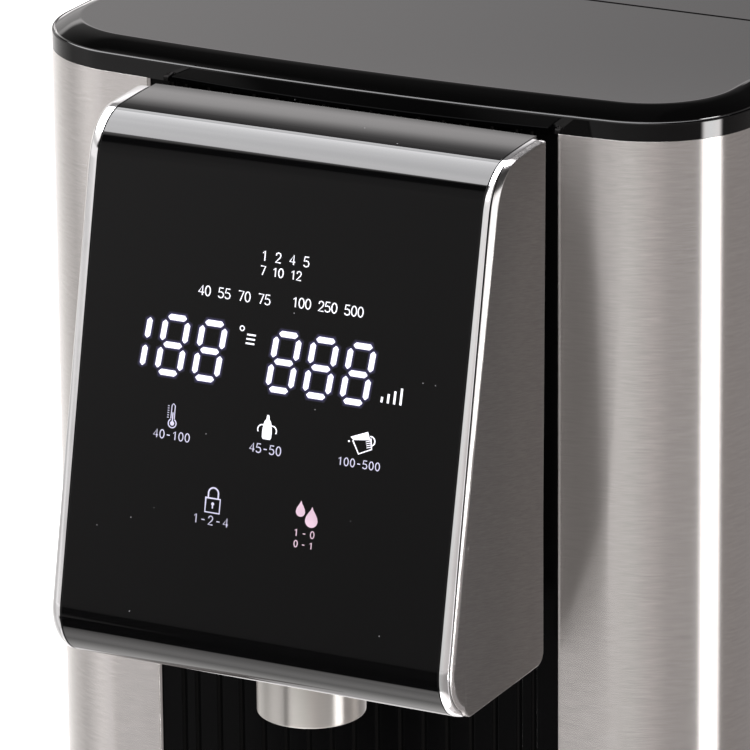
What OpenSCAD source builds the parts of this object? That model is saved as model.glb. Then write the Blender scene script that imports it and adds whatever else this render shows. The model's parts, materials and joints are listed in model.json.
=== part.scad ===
// Countertop instant hot-water dispenser: a steel-clad machine column with a leaning
// glass-fronted head, a lift-out water tank behind it and a pull-out drip tray below.
// Millimetres, +Z up, front towards -Y, origin at the middle of the footprint.

/* [Body] */
// Width across the steel side panels
body_w = 170; // [156:1:190]
// Depth from the front plane to the rear face of the water tank
body_d = 200; // [190:1:230]
// Height of the steel panels' top edge above the table
skin_top = 297; // [290:1:325]
// Corner radius of the body, seen from above
corner_r = 26; // [20:0.5:32]
// How far the body's front bows forward at its middle
front_bow = 2.2; // [1:0.1:4]
// Depth of the machine column, from the front plane to the tank seam
column_d = 76; // [70:1:82]
// Sheet thickness of the steel panels
skin_t = 0.8; // [0.6:0.1:1.2]
// Depth of the folded edge where a steel panel turns inwards
skin_return = 3.5; // [2.5:0.1:4]
// Clear width between the two steel panels at the front
front_open_w = 99.4; // [97:0.2:108]
// Wall thickness of the moulded column
column_wall = 2.5; // [2:0.1:4]
// Depth from the front plane to the inside of the column's front wall
column_front = 8; // [7:0.5:11]
// Thickness of the plate that closes the column at the back
back_t = 4; // [3:0.5:6]

/* [Ribbed front panel] */
// How far the panel lies behind the steel's surface
panel_set = 1.0; // [0.6:0.1:1.6]
// Panel thickness
panel_t = 3.4; // [2.6:0.1:4]
// Distance between the vertical grooves
rib_pitch = 5.73; // [4.8:0.01:6]
// Number of grooves each side of the middle one
rib_half_count = 7; // [3:1:7]
// Width of a groove at the surface
groove_w = 1.6; // [0.8:0.1:2.4]
// Depth of a groove
groove_d = 0.9; // [0.5:0.1:1.4]
// Half the width of the ribbed field, out to the border groove
rib_field = 43.6; // [42.5:0.1:46]

/* [Top] */
// Height of the black rim above the steel
rim_h = 4.2; // [3:0.1:6]
// Width of the ledge between the rim's edge and the crowned cover
rim_ledge = 0.8; // [0.6:0.1:2]
// Height of the crown above the rim
crown_h = 2.4; // [1.5:0.1:4]
// Width of the crown's sloping border
crown_w = 5.5; // [4:0.5:10]
// Depth of the seat in the rim that holds the front cover
cover_seat = 2; // [1:0.1:3]
// Width of the rim's inner flange
rim_flange = 9; // [7:0.5:14]

/* [Head] */
// Width across the steel cheeks
head_w = 95.8; // [94:0.2:99]
// Height of the head
head_h = 119.1; // [112:0.1:125]
// How far the head's top rises above the steel's top edge
head_rise = 0.2; // [0:0.1:1]
// Reach of the head in front of the front plane, at its top
head_top_reach = 28.3; // [25:0.1:32]
// Reach of the head in front of the front plane, at its bottom
head_bottom_reach = 53.8; // [50:0.1:58]
// Distance from the front plane to the cheeks' rear edge
head_back = 4; // [3:0.1:6]
// Radius where the front rolls into the top
head_top_r = 12; // [9:0.5:14]
// Radius where the front rolls into the underside
head_bottom_r = 11.5; // [9:0.5:14]
// Radius of the lower rear corner
head_rear_r = 3; // [1:0.5:5]
// Thickness of a steel cheek
cheek_t = 1.5; // [1:0.1:2]
// Depth of the bright trim, from the glass face back to the cheek
trim_d = 3.8; // [3:0.1:5]
// Height of the trim along the top edge
trim_top = 0.5; // [0.3:0.1:1]
// How far above the underside the cheek's front edge turns upright
cheek_turn_h = 31; // [24:1:40]
// Radius of the sweep where the cheek's front edge turns upright
cheek_sweep = 120; // [80:5:140]
// Width of the glass
glass_w = 92; // [90:0.2:94]
// Thickness of the glass
glass_t = 2.2; // [1.8:0.1:3]
// How far the glass runs on behind the lower roll
glass_tuck = 1.5; // [0.5:0.1:3]
// Wall thickness of the head's housing
head_wall = 2.4; // [2:0.1:3]
// Width of the neck that joins the head to the column
neck_w = 88; // [80:1:90]
// Space above and below the neck, inside the head's height
neck_margin = 6; // [4:0.5:10]

/* [Display] */
// Width of the display circuit board
display_w = 78; // [70:1:82]
// Distance down the face from the head's top to the board's upper edge
display_start = 22; // [20:1:26]
// Length of the display board down the face
display_len = 78; // [72:1:80]
// Width of the light block behind the numerals
led_w = 70; // [64:1:72]
// Distance down the face from the head's top to the light block
led_start = 38; // [36:1:42]
// Length of the light block down the face
led_len = 18; // [14:1:22]
// Gap between the housing's front wall and the display board
display_gap = 1.5; // [1:0.1:2]
// Thickness of a circuit board
board_t = 1.6; // [1.2:0.1:2]

/* [Nozzle] */
// Outer diameter of the steel nozzle sleeve
nozzle_d = 24; // [20:0.5:28]
// How far the nozzle hangs below the head
nozzle_drop = 13.3; // [10:0.1:18]
// Distance from the front plane forward to the nozzle's axis
nozzle_y = 21.7; // [19:0.1:26]
// Wall thickness of the sleeve
nozzle_wall = 1; // [0.8:0.1:1.4]
// Diameter of the water outlet
outlet_d = 8; // [6:0.5:10]

/* [Base] */
// Height of the base and of the tank deck
base_h = 40; // [36:1:46]
// How far the base reaches in front of the front plane
nose_reach = 66; // [60:1:74]
// Corner radius of the base's nose
nose_r = 38; // [30:1:46]
// How far the nose bows forward at its middle
nose_bow = 7; // [4:0.5:10]
// Wall thickness of the base
base_wall = 2.6; // [2:0.1:3.4]
// Thickness of the base's deck
deck_t = 3; // [2.4:0.1:4]
// Width of the bay that takes the drip tray
bay_w = 124; // [110:1:128]
// Height of the bay's floor above the table
bay_floor = 8; // [7.6:0.2:10]
// Distance from the bay's rear wall to the front plane
bay_back = 3; // [2.6:0.2:6]
// Thickness of the bottom plate
plate_t = 2.4; // [2.2:0.1:2.6]

/* [Feet and fasteners] */
// Height of the rubber feet below the base
foot_h = 3; // [2:0.1:3]
// Diameter of a foot
foot_d = 18; // [14:1:22]
// Half the distance between the left and right feet
foot_x = 60; // [54:1:62]
// Distance from the front plane forward to the front feet
foot_front = 34; // [28:1:38]
// Distance from the rear face forward to the rear feet
foot_rear = 24; // [20:1:30]
// Diameter of a housing screw
screw_d = 2.9; // [2.5:0.1:3.5]
// Half the distance between the left and right screws
screw_x = 73; // [72:1:74]

/* [Drip tray] */
// Wall thickness of the drip tray
tray_wall = 2.2; // [1.8:0.1:2.8]
// Thickness of the slotted grate
grate_t = 2; // [1.6:0.1:3]
// Width of the ledge that carries the grate
grate_ledge = 2.6; // [2:0.1:4]
// Distance between the grate's slots
slot_pitch = 8; // [6:0.5:10]
// Width of a slot
slot_w = 3.2; // [2:0.1:4]
// Length of a slot
slot_len = 38; // [30:1:42]
// Number of slots each side of the middle one
slot_half_count = 5; // [2:1:5]
// Radius of the finger notch under the tray's front
pull_r = 13; // [10:1:16]

/* [Water tank] */
// Wall thickness of the water tank
tank_wall = 2.6; // [2:0.1:3.4]
// Thickness of the tank's floor
tank_floor = 3; // [2.4:0.1:4]
// Gap between the tank and the column
tank_gap = 0.6; // [0.4:0.1:1]
// Depth of the lid's plug inside the tank
plug_h = 8; // [6:0.5:12]
// Wall thickness of the lid's plug
plug_t = 2; // [1.6:0.1:3]
// Width of the grip recess in the tank's rear wall
grip_w = 68; // [56:1:80]
// Height of the grip recess
grip_h = 20; // [16:1:24]
// Depth of the grip recess
grip_d = 14; // [10:1:16]
// Distance from the tank's top edge down to the grip recess
grip_drop = 44; // [36:1:56]
// Outer radius of the lid hinge's knuckles
knuckle_r = 3.6; // [3.2:0.1:4.2]
// Diameter of the hinge pin
hinge_pin_d = 2.4; // [2:0.1:2.8]
// Width of the lid's own knuckle
lid_knuckle_w = 28; // [20:1:36]
// Width of each knuckle on the tank
tank_knuckle_w = 10; // [8:1:14]

/* [Tank valve and dock] */
// Distance from the tank seam back to the valve's axis
dock_back = 45; // [40:1:55]
// Outer radius of the tank's outlet neck
neck_r = 12; // [11:0.5:13]
// Length of the outlet neck below the tank
neck_len = 14; // [12:0.5:16]
// Wall thickness of the outlet neck
neck_t = 2.6; // [2:0.1:3]
// Radius of the plunger's lower stem
stem_r = 2.9; // [2.5:0.1:3.2]
// Radius of the plunger's sealing head
plunger_head_r = 6; // [5.5:0.1:6.4]
// How far the seated tank holds the valve open
valve_lift = 4; // [3:0.5:5]
// Over-travel left above the open position
valve_over = 2; // [1:0.5:3]
// Space inside the cage for the spring at rest
spring_len = 12; // [10:0.5:14]
// Wire diameter of the valve spring
spring_wire = 0.8; // [0.6:0.1:1]
// Number of turns in the valve spring
spring_turns = 5; // [4:1:6]
// Depth of the dock's cup below the deck
dock_depth = 18; // [17:0.5:22]
// Outer radius of the filter cartridge
filter_r = 24; // [22:0.5:28]
// Height of the filter cartridge
filter_h = 62; // [56:1:70]
// Wall thickness of the filter cartridge
filter_t = 2.4; // [2:0.1:3]

/* [Works inside the column] */
// Distance from the front plane to the pump's and heater's axes
works_y = 38; // [34:1:40]
// Distance from the middle to the heater's axis
heater_x = 45; // [42:1:50]
// Radius of the heater tube
heater_r = 19; // [16:0.5:21]
// Length of the heater tube
heater_len = 110; // [90:1:120]
// Distance from the steel's top edge down to the heater tube's upper end
heater_start = 57; // [54:1:62]
// Thickness of each heater end cap
heater_cap_t = 8; // [6:0.5:10]
// Radius of the pump's body
pump_r = 17; // [15:0.5:20]
// Height of the pump's body
pump_h = 24; // [20:1:28]
// Radius of the pump's motor
motor_r = 13.8; // [12:0.1:14]
// Height of the pump's motor
motor_h = 40; // [34:1:46]
// Thickness of the rubber cradle under the pump
cradle_t = 6; // [4:0.5:8]
// Outer radius of a hose
hose_r = 4.5; // [4:0.1:5]
// Inner radius of a hose
hose_bore = 2.5; // [2:0.1:3]
// Bend radius of a hose
hose_bend = 12; // [10:0.5:14]
// Width of the power board
power_w = 60; // [50:1:62]
// Height of the power board
power_h = 104; // [90:1:110]
// Height of the power board's lower edge above the deck
power_start = 90; // [80:1:100]
// Distance from the middle to the power board's inner edge
power_x = 14; // [12:1:16]
// Length of the stand-offs behind the power board
standoff = 7; // [5:0.5:9]

/* [Fits] */
// Gap between parts that slide past each other
slide_gap = 0.5; // [0.3:0.1:0.8]
// Gap between parts that are set into each other
set_gap = 0.1; // [0.05:0.05:0.2]
// Gap under parts that rest on each other and lift off
rest_gap = 0.3; // [0.2:0.05:0.4]
// Running clearance of pins and stems
run_gap = 0.07; // [0.03:0.01:0.1]

/* [Hidden] */
$fn = 96;
bow_fn = 1440;
crown_fn = 48;
crown_bow_fn = 360;
far = 1000;
cut = 1;
// The bowed front is drawn this much inside the corner arcs, so that they cross and don't only touch
arc_dip = 0.02;
slice_t = 0.02;
crown_swell = 0.12;
groove_over = 0.05;
head_crest_r = 0.8;
least_r = 0.2;
cheek_top_r = 0.4;
cheek_foot_r = 1.6;
press_gap = 0.02;

// Where the front plane lies, so that the footprint is centred on the origin
front_y = -(body_d + knuckle_r - nose_reach) / 2;
tank_front = column_d + tank_gap;
dock_y = column_d + dock_back;
tank_z = base_h + rest_gap;
tank_top = skin_top - rest_gap;
column_back = column_d - back_t;
panel_back = panel_set + panel_t;
pocket_w = front_open_w + 2 * skin_t + 4 * set_gap;
head_half = head_w / 2;
glass_half = glass_w / 2;
housing_half = head_half - cheek_t - set_gap;
head_bottom = head_rise - head_h;
lean = atan((head_bottom_reach - head_top_reach) / head_h);
glass_end = glass_tuck + head_bottom_r * tan(45 + lean / 2) - head_bottom_reach;
hose_drop = 27;
hose_z = skin_top - hose_drop;
hose_clear = 2;
hose_hole_r = hose_r + hose_clear;
outlet_r = outlet_d / 2;
nozzle_r = nozzle_d / 2;
barb_r = hose_bore - set_gap;
barb_len = 10;
tray_half = bay_w / 2 - slide_gap;
tray_back = -bay_back - slide_gap;
tray_z = bay_floor + rest_gap;
tray_top = base_h - rest_gap;
grate_z = tray_top - grate_t - slide_gap;
plate_z = foot_h;
screw_front = 20;
screw_rear = 30;
screw_len = 14;
screw_hole = 18;
boss_r = 4;
foot_pin_r = foot_d / 6;
vent_pitch = 9;
vent_w = 4;
vent_len = 40;
vent_half_count = 4;
gland_x = 46;
gland_z = 20;
gland_r = 6;
gland_flange = 1.6;
gland_lip = 2;
gland_tail = 3;
heater_z = skin_top - heater_start - heater_len;
pump_z = base_h + cradle_t;
pump_out_z = pump_z + pump_h / 2;
power_z = base_h + power_start;
power_y = column_back - standoff - board_t;
standoff_r = 3;
standoff_inset = 6;
display_boss = 5;
nozzle_flange = 2;
nozzle_flange_t = 1.5;
insert_set = 1.5;
insert_top = 3.5;
heater_wall = 3;
cap_lip = 2;
bracket_h = 16;
bracket_lap = 6;
bracket_w = heater_r + bracket_lap;
cutout_flange_r = 7;
cutout_flange_t = 2;
cutout_r = 5;
cutout_h = 8;
cutout_share = 0.7;
shaft_tail = 4;
cradle_lip = 2;
spring_margin = 1;
dock_wall = 3;
dock_clear = 1;
dock_brim = 4;
dock_cup_r = neck_r + dock_clear;
dock_flange_r = dock_cup_r + dock_wall + dock_brim;
dock_flange_t = 2;
dock_top = base_h - deck_t;
dock_floor = dock_top - dock_depth;
dock_barb_z = dock_floor + dock_wall + hose_r;
neck_end = tank_z - neck_len;
seat_h = 2;
valve_seat = tank_z + tank_floor + seat_h;
plunger_z = valve_seat + valve_lift;
plunger_t = 2;
cage_z = plunger_z + plunger_t + spring_len;
cage_t = 2;
post_r = 1.2;
post_inset = 0.4;
port_r = 1.4;
port_place = stem_r + 2 * port_r - run_gap;
valve_flange = 2;
stem_set = 3;
stem_end = neck_end + stem_set;
stem_bare = 1;
dock_pin_r = 2;
seal_t = 2;
lid_top_t = 2;
filter_slots = 12;
filter_slot_w = 4;
filter_foot = 6;
filter_head = 10;

// Helpers for outlines

function unit(v) = v / norm(v);

// Corner of a polygon whose edges move inwards by the given distances
function moved_corner(p, d, i) =
    let (n = len(p), a = p[(i + n - 1) % n], b = p[i], c = p[(i + 1) % n],
         u = unit(b - a), v = unit(c - b),
         nu = [-u.y, u.x], nv = [-v.y, v.x],
         pu = a + nu * d[(i + n - 1) % n], pv = b + nv * d[i],
         k = ((pv.x - pu.x) * v.y - (pv.y - pu.y) * v.x) / (u.x * v.y - u.y * v.x))
    pu + u * k;

function moved_polygon(p, d) = [for (i = [0 : len(p) - 1]) moved_corner(p, d, i)];

// A polygon whose corners are true arcs
module rounded_polygon(p, r) {
    n = len(p);
    turns = [for (i = [0 : n - 1])
        let (u = unit(p[(i + n - 1) % n] - p[i]), v = unit(p[(i + 1) % n] - p[i]), half = acos(u * v) / 2)
        [p[i] + u * r[i] / tan(half), p[i] + v * r[i] / tan(half), p[i] + unit(u + v) * r[i] / sin(half)]];
    polygon([for (t = turns) each [t[0], t[1]]]);
    for (i = [0 : n - 1]) {
        start = turns[i][0];
        end = turns[i][1];
        middle = turns[i][2];
        intersection() {
            translate(middle) circle(r[i], $fn = max($fn, 4 * r[i]));
            polygon([start, 2 * start - middle, 2 * p[i] - middle, 2 * end - middle, end]);
        }
    }
}

// A rounded oblong with a bowed front, seen from above, its front plane on y = 0
module bowed_plan(w, d, rf, rr, bow, inset, bow_sides = bow_fn) {
    xc = w / 2 - rf;
    crest = bow + arc_dip;
    bow_r = (xc * xc + crest * crest) / (2 * crest);
    bow_y = bow_r - crest;
    yc = bow_y - sqrt(pow(bow_r - rf, 2) - xc * xc);
    swing = asin(xc / (bow_r - rf));
    reach = [2 * rf * sin(swing), 2 * rf * cos(swing)];
    intersection() {
        translate([0, bow_y]) circle(bow_r - inset - arc_dip, $fn = bow_sides);
        polygon([[-xc, yc], [-xc - reach.x, yc - reach.y], [xc + reach.x, yc - reach.y], [xc, yc]]);
    }
    for (s = [-1, 1]) {
        translate([s * xc, yc]) circle(rf - inset);
        translate([s * (w / 2 - rr), d - rr]) circle(rr - inset);
    }
    translate([-w / 2 + inset, yc]) square([w - 2 * inset, d - rr - yc]);
    translate([-w / 2 + rr, d - rr - cut]) square([w - 2 * rr, rr + cut - inset]);
}

module body_plan(inset) {
    bowed_plan(body_w, body_d, corner_r, corner_r, front_bow, inset);
}

module base_plan(inset) {
    shift = nose_reach - nose_bow;
    translate([0, -shift]) bowed_plan(body_w, body_d + shift, nose_r, corner_r, nose_bow, inset);
}

// The strip between two depths, measured from the front plane
module depth_strip(y0, y1) {
    translate([-far / 2, y0]) square([far, y1 - y0]);
}

module width_strip(w) {
    translate([-w / 2, -far / 2]) square([w, far]);
}

module between(z0, z1) {
    translate([0, front_y, z0]) linear_extrude(z1 - z0) children();
}

module at(x, y, z) {
    translate([x, front_y + y, z]) children();
}

// A tube along +Z
module tube(r, bore, h) {
    linear_extrude(h) difference() {
        circle(r);
        circle(bore);
    }
}

// A quarter bend from +Z towards +X, starting at the origin
module hose_elbow() {
    translate([hose_bend, 0, 0]) rotate([90, 0, 180]) rotate_extrude(angle = 90) translate([hose_bend, 0])
        difference() {
            circle(hose_r);
            circle(hose_bore);
        }
}

module hose_run(h) {
    tube(hose_r, hose_bore, h);
}

// The head's side outline: y in front of the front plane, z from the steel's top edge
head_corners = [
    [-head_back, head_rise],
    [-head_top_reach, head_rise],
    [-head_bottom_reach, head_bottom],
    [-head_back, head_bottom]
];
head_radii = [head_crest_r, head_top_r, head_bottom_r, head_rear_r];

// Outline of the head with its top, front, underside and rear moved inwards
module head_outline(top, front, under, rear) {
    d = [top, front, under, rear];
    shrink = [min(top, rear), min(top, front), min(front, under), min(under, rear)];
    rounded_polygon(moved_polygon(head_corners, d),
        [for (i = [0 : 3]) max(head_radii[i] - shrink[i], least_r)]);
}

// Extrudes a side outline, drawn in y and z, from x0 to x1
module across(x0, x1) {
    translate([x0, front_y, skin_top]) rotate([90, 0, 90]) linear_extrude(x1 - x0) children();
}

// The strip of the head's outline that the glass covers
module glass_zone(t) {
    intersection() {
        difference() {
            head_outline(0, 0, 0, 0);
            head_outline(t, t, t, 0);
        }
        union() {
            translate([-far / 2, head_bottom]) square([far / 2 + glass_end, far]);
            translate([-far / 2, head_bottom + head_h / 2]) square([far, far]);
        }
    }
}

// The housing's outline: behind the glass, and down to the underside where the glass ends
module housing_outline() {
    skin = glass_t + set_gap;
    head_outline(skin, skin, skin, 0);
    intersection() {
        head_outline(0, 0, set_gap, 0);
        translate([glass_end + set_gap, head_bottom]) square([far, head_h / 2]);
    }
}

// The cheek's outline: close to the top edge, set back from the front, upright near its foot
module cheek_outline(grow) {
    slope = tan(lean);
    set = trim_d / cos(lean);
    turn_z = head_bottom + cheek_turn_h;
    turn_y = -head_bottom_reach + slope * cheek_turn_h + set;
    top = head_rise - trim_top;
    rounded_polygon(moved_polygon([
        [-head_back, top],
        [-head_top_reach + set - slope * trim_top, top],
        [turn_y, turn_z],
        [turn_y, head_bottom],
        [-head_back, head_bottom]
    ], [-grow, -grow, -grow, -grow, -grow]),
    [cheek_top_r, head_top_r - trim_d, cheek_sweep, cheek_foot_r, head_rear_r]);
}

// Rounded envelope of the head, from which the bright trim takes its roll
module head_envelope(side) {
    steps = 4;
    roll = head_half - glass_half;
    hull() {
        for (i = [0 : steps]) {
            a = 90 * i / steps;
            d = trim_d * (1 - cos(a));
            x = glass_half + roll * sin(a);
            across(side > 0 ? 0 : -x, side > 0 ? x : 0)
                head_outline(d, d, d, 0, $fn = 64);
        }
    }
}

// Lays children on the head's front face: x across, y down the face, z into the head
module on_face() {
    translate([0, front_y - head_top_reach, skin_top + head_rise]) rotate([-90 - lean, 0, 0]) children();
}

// Base

module base_shell() {
    bay_wall = bay_w / 2 + base_wall;
    color("#1b1b1c") difference() {
        between(foot_h, base_h) base_plan(0);
        difference() {
            between(foot_h - cut, base_h - deck_t) base_plan(base_wall);
            at(-bay_wall, -far, plate_z + plate_t + set_gap)
                cube([2 * bay_wall, far - bay_back + base_wall, far]);
            for (s = [-1, 1], y = [-screw_front, body_d - screw_rear])
                at(s * screw_x, y, plate_z + plate_t) cylinder(r = boss_r, h = base_h);
        }
        at(-bay_w / 2, -far, bay_floor) cube([bay_w, far - bay_back, far]);
        for (s = [-1, 1], y = [-screw_front, body_d - screw_rear])
            at(s * screw_x, y, plate_z) cylinder(d = screw_d + 2 * set_gap, h = screw_hole);
        at(0, works_y, base_h - deck_t - cut) cylinder(r = hose_hole_r, h = deck_t + 2 * cut);
        at(0, dock_y, base_h - deck_t - cut) cylinder(r = dock_cup_r, h = deck_t + 2 * cut);
        at(gland_x, body_d + cut, gland_z) rotate([90, 0, 0])
            cylinder(r = gland_r + set_gap, h = base_wall + 2 * cut);
    }
}

module bottom_plate() {
    head_r = screw_d + 2 * set_gap;
    color("#262626") difference() {
        between(plate_z, plate_z + plate_t) base_plan(base_wall + slide_gap);
        for (s = [-1, 1], y = [-screw_front, body_d - screw_rear]) {
            at(s * screw_x, y, plate_z - cut) cylinder(d = screw_d + 4 * set_gap, h = plate_t + 2 * cut);
            at(s * screw_x, y, plate_z - cut) cylinder(r = head_r, h = cut + plate_t / 2);
        }
        for (s = [-1, 1], y = [-foot_front, body_d - foot_rear])
            at(s * foot_x, y, plate_z - cut) cylinder(r = foot_pin_r + set_gap, h = plate_t + 2 * cut);
        for (i = [-vent_half_count : vent_half_count])
            at(i * vent_pitch - vent_w / 2, works_y - vent_len / 2, plate_z - cut)
                cube([vent_w, vent_len, plate_t + 2 * cut]);
    }
}

module rubber_feet() {
    color("#101010") for (s = [-1, 1], y = [-foot_front, body_d - foot_rear])
        at(s * foot_x, y, 0) {
            cylinder(d = foot_d, h = foot_h);
            cylinder(r = foot_pin_r, h = foot_h + plate_t);
        }
}

module base_screws() {
    color("#b8b8b4") for (s = [-1, 1], y = [-screw_front, body_d - screw_rear])
        at(s * screw_x, y, plate_z) {
            translate([0, 0, plate_t / 4]) cylinder(r = screw_d, h = plate_t / 4);
            translate([0, 0, plate_t / 4]) cylinder(d = screw_d, h = screw_len);
        }
}

module cord_gland() {
    color("#141414") at(gland_x, body_d, gland_z) rotate([90, 0, 0]) difference() {
        union() {
            translate([0, 0, -gland_flange]) cylinder(r = gland_r + gland_lip, h = gland_flange);
            translate([0, 0, -gland_flange]) cylinder(r = gland_r, h = gland_flange + base_wall + gland_tail);
        }
        translate([0, 0, -far / 2]) cylinder(r = gland_r / 2, h = far);
    }
}

// Machine column

module column_frame() {
    inset = skin_t + set_gap;
    color("#202021") difference() {
        between(base_h, skin_top) difference() {
            intersection() {
                body_plan(inset);
                depth_strip(-far / 2, column_back);
            }
            difference() {
                intersection() {
                    width_strip(pocket_w);
                    depth_strip(-far / 2, column_front);
                }
                body_plan(panel_back + set_gap);
            }
            intersection() {
                body_plan(inset + column_wall);
                depth_strip(column_front, far / 2);
            }
        }
        at(0, 0, hose_z) rotate([-90, 0, 0]) cylinder(r = hose_hole_r, h = column_front + cut);
    }
}

module back_plate() {
    color("#202021") {
        between(base_h, skin_top) intersection() {
            body_plan(0);
            depth_strip(column_back, column_d);
        }
        for (x = [power_x + standoff_inset, power_x + power_w - standoff_inset],
             z = [power_z + standoff_inset, power_z + power_h - standoff_inset])
            at(x, column_back, z) rotate([90, 0, 0]) cylinder(r = standoff_r, h = standoff);
    }
}

module steel_panel(side) {
    color("#a9a5a1") between(base_h, skin_top) intersection() {
        union() {
            difference() {
                body_plan(0);
                body_plan(skin_t);
            }
            difference() {
                intersection() {
                    body_plan(0);
                    width_strip(front_open_w + 2 * skin_t);
                }
                body_plan(skin_return);
            }
        }
        depth_strip(-far / 2, column_back);
        translate([side > 0 ? front_open_w / 2 : -far, -far / 2]) square([far - front_open_w / 2, far]);
    }
}

module steel_panel_left() { steel_panel(-1); }

module steel_panel_right() { steel_panel(1); }

module ribbed_panel() {
    groove = [[-groove_w / 2, 0], [groove_w / 2, 0], [groove_w / 4, groove_d], [-groove_w / 4, groove_d]];
    rows = concat([for (i = [-rib_half_count : rib_half_count]) i * rib_pitch], [-rib_field, rib_field]);
    color("#0c0c0d") difference() {
        between(base_h, skin_top) difference() {
            intersection() {
                body_plan(panel_set);
                width_strip(front_open_w - 4 * set_gap);
                depth_strip(-far / 2, column_front);
            }
            body_plan(panel_back);
            for (x = rows) {
                depth = x * x * front_bow * 2 / pow(body_w - 2 * corner_r, 2) * 2 - front_bow + panel_set;
                translate([x, depth - groove_over]) polygon(groove);
            }
        }
        at(0, -column_front, hose_z) rotate([-90, 0, 0]) cylinder(r = hose_hole_r, h = 3 * column_front);
    }
}

module top_rim() {
    color("#0a0a0b") difference() {
        between(skin_top, skin_top + rim_h) difference() {
            intersection() {
                body_plan(0);
                depth_strip(-far / 2, column_d);
            }
            intersection() {
                body_plan(rim_flange);
                depth_strip(-far / 2, column_d - rim_flange);
            }
        }
        between(skin_top + rim_h - cover_seat, skin_top + rim_h + cut) intersection() {
            body_plan(rim_ledge);
            depth_strip(-far / 2, column_d + cut);
        }
    }
}

// The crowned top, between two depths
module crown(y0, y1, gap) {
    steps = 5;
    hull() {
        for (i = [0 : steps]) {
            t = i / steps;
            inset = rim_ledge + gap + crown_w * t;
            z = skin_top + rim_h + crown_h * (t + crown_swell * sin(180 * t));
            between(z - slice_t, z) intersection() {
                bowed_plan(body_w, body_d, corner_r, corner_r, front_bow, inset,
                    crown_bow_fn, $fn = crown_fn);
                depth_strip(y0, y1);
            }
        }
    }
}

module front_cover() {
    color("#131314") union() {
        between(skin_top + rim_h - cover_seat, skin_top + rim_h) intersection() {
            body_plan(rim_ledge + set_gap);
            depth_strip(-far / 2, column_d);
        }
        crown(-far / 2, column_d, set_gap);
    }
}

// Head

module head_housing() {
    inner = glass_t + set_gap + head_wall;
    room = housing_half - head_wall;
    neck_top = head_rise - neck_margin;
    color("#0e0e0f") difference() {
        union() {
            across(-housing_half, housing_half) housing_outline();
            across(-neck_w / 2, neck_w / 2)
                translate([-head_back - cut, head_bottom + neck_margin])
                    square([head_back + panel_set + cut, neck_top - head_bottom - neck_margin]);
        }
        across(-room, room) head_outline(inner, inner, head_wall, head_wall);
        across(-neck_w / 2 + head_wall, neck_w / 2 - head_wall)
            translate([-head_back - 2 * head_wall, head_bottom + neck_margin + head_wall])
                square([far, neck_top - head_bottom - neck_margin - 2 * head_wall]);
        between(0, far) body_plan(panel_set - set_gap);
        on_face() translate([-led_w / 2 - slide_gap, led_start - slide_gap, 0])
            cube([led_w + 2 * slide_gap, led_len + 2 * slide_gap, inner + cut]);
        at(0, -nozzle_y, skin_top + head_bottom - cut)
            cylinder(r = nozzle_r + set_gap, h = head_wall + 2 * cut);
    }
    boss_rows = [display_start + display_boss, display_start + display_len - display_boss];
    color("#0e0e0f") for (s = [-1, 1], v = boss_rows)
        on_face() translate([s * (display_w / 2 - display_boss), v, inner - cut])
            cylinder(r = standoff_r, h = display_gap + cut);
}

module head_cheek(side) {
    inner = head_half - cheek_t;
    color("#7f7d7b") across(side > 0 ? inner : -head_half, side > 0 ? head_half : -inner)
        cheek_outline(0);
}

module head_cheek_left() { head_cheek(-1); }

module head_cheek_right() { head_cheek(1); }

module head_trim(side) {
    lap = housing_half + set_gap;
    color("#e2e2e4") intersection() {
        across(side > 0 ? lap : -head_half, side > 0 ? head_half : -lap) difference() {
            head_outline(0, 0, 0, 0);
            cheek_outline(set_gap);
        }
        head_envelope(side);
    }
}

module head_trim_left() { head_trim(-1); }

module head_trim_right() { head_trim(1); }

module display_glass() {
    color("#08080a") across(-glass_half, glass_half) glass_zone(glass_t);
}

module display_board() {
    color("#1d4d2c") on_face()
        translate([-display_w / 2, display_start, glass_t + set_gap + head_wall + display_gap])
            cube([display_w, display_len, board_t]);
}

module led_block() {
    color("#f4f4ff") on_face()
        translate([-led_w / 2, led_start, glass_t + set_gap])
            cube([led_w, led_len, head_wall + display_gap]);
}

module nozzle_sleeve() {
    z = skin_top + head_bottom;
    color("#c4c0ba") at(0, -nozzle_y, z) difference() {
        union() {
            translate([0, 0, -nozzle_drop])
                cylinder(r = nozzle_r, h = nozzle_drop + head_wall + set_gap);
            translate([0, 0, head_wall + set_gap])
                cylinder(r = nozzle_r + nozzle_flange, h = nozzle_flange_t);
        }
        translate([0, 0, -nozzle_drop - cut]) cylinder(r = nozzle_r - nozzle_wall, h = far);
    }
}

module nozzle_insert() {
    z = skin_top + head_bottom;
    color("#0b0b0b") at(0, -nozzle_y, z) difference() {
        union() {
            translate([0, 0, insert_set - nozzle_drop])
                cylinder(r = nozzle_r - nozzle_wall - set_gap, h = nozzle_drop + insert_top - insert_set);
            cylinder(r = barb_r, h = insert_top + barb_len);
        }
        translate([0, 0, -nozzle_drop]) cylinder(r = outlet_r, h = nozzle_drop - cut);
        cylinder(r = barb_r / 2, h = far, center = true);
    }
}

// Works inside the column

module heater_tube() {
    color("#b9bcc0") at(-heater_x, works_y, heater_z) tube(heater_r, heater_r - heater_wall, heater_len);
}

module heater_caps() {
    color("#d8d3c6") at(-heater_x, works_y, heater_z) for (s = [0, 1])
        translate([0, 0, s * heater_len]) mirror([0, 0, 1 - s]) difference() {
            union() {
                cylinder(r = heater_r + cap_lip, h = heater_cap_t);
                cylinder(r = barb_r, h = heater_cap_t + barb_len);
            }
            translate([0, 0, -cut]) cylinder(r = barb_r / 2, h = far);
        }
}

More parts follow.
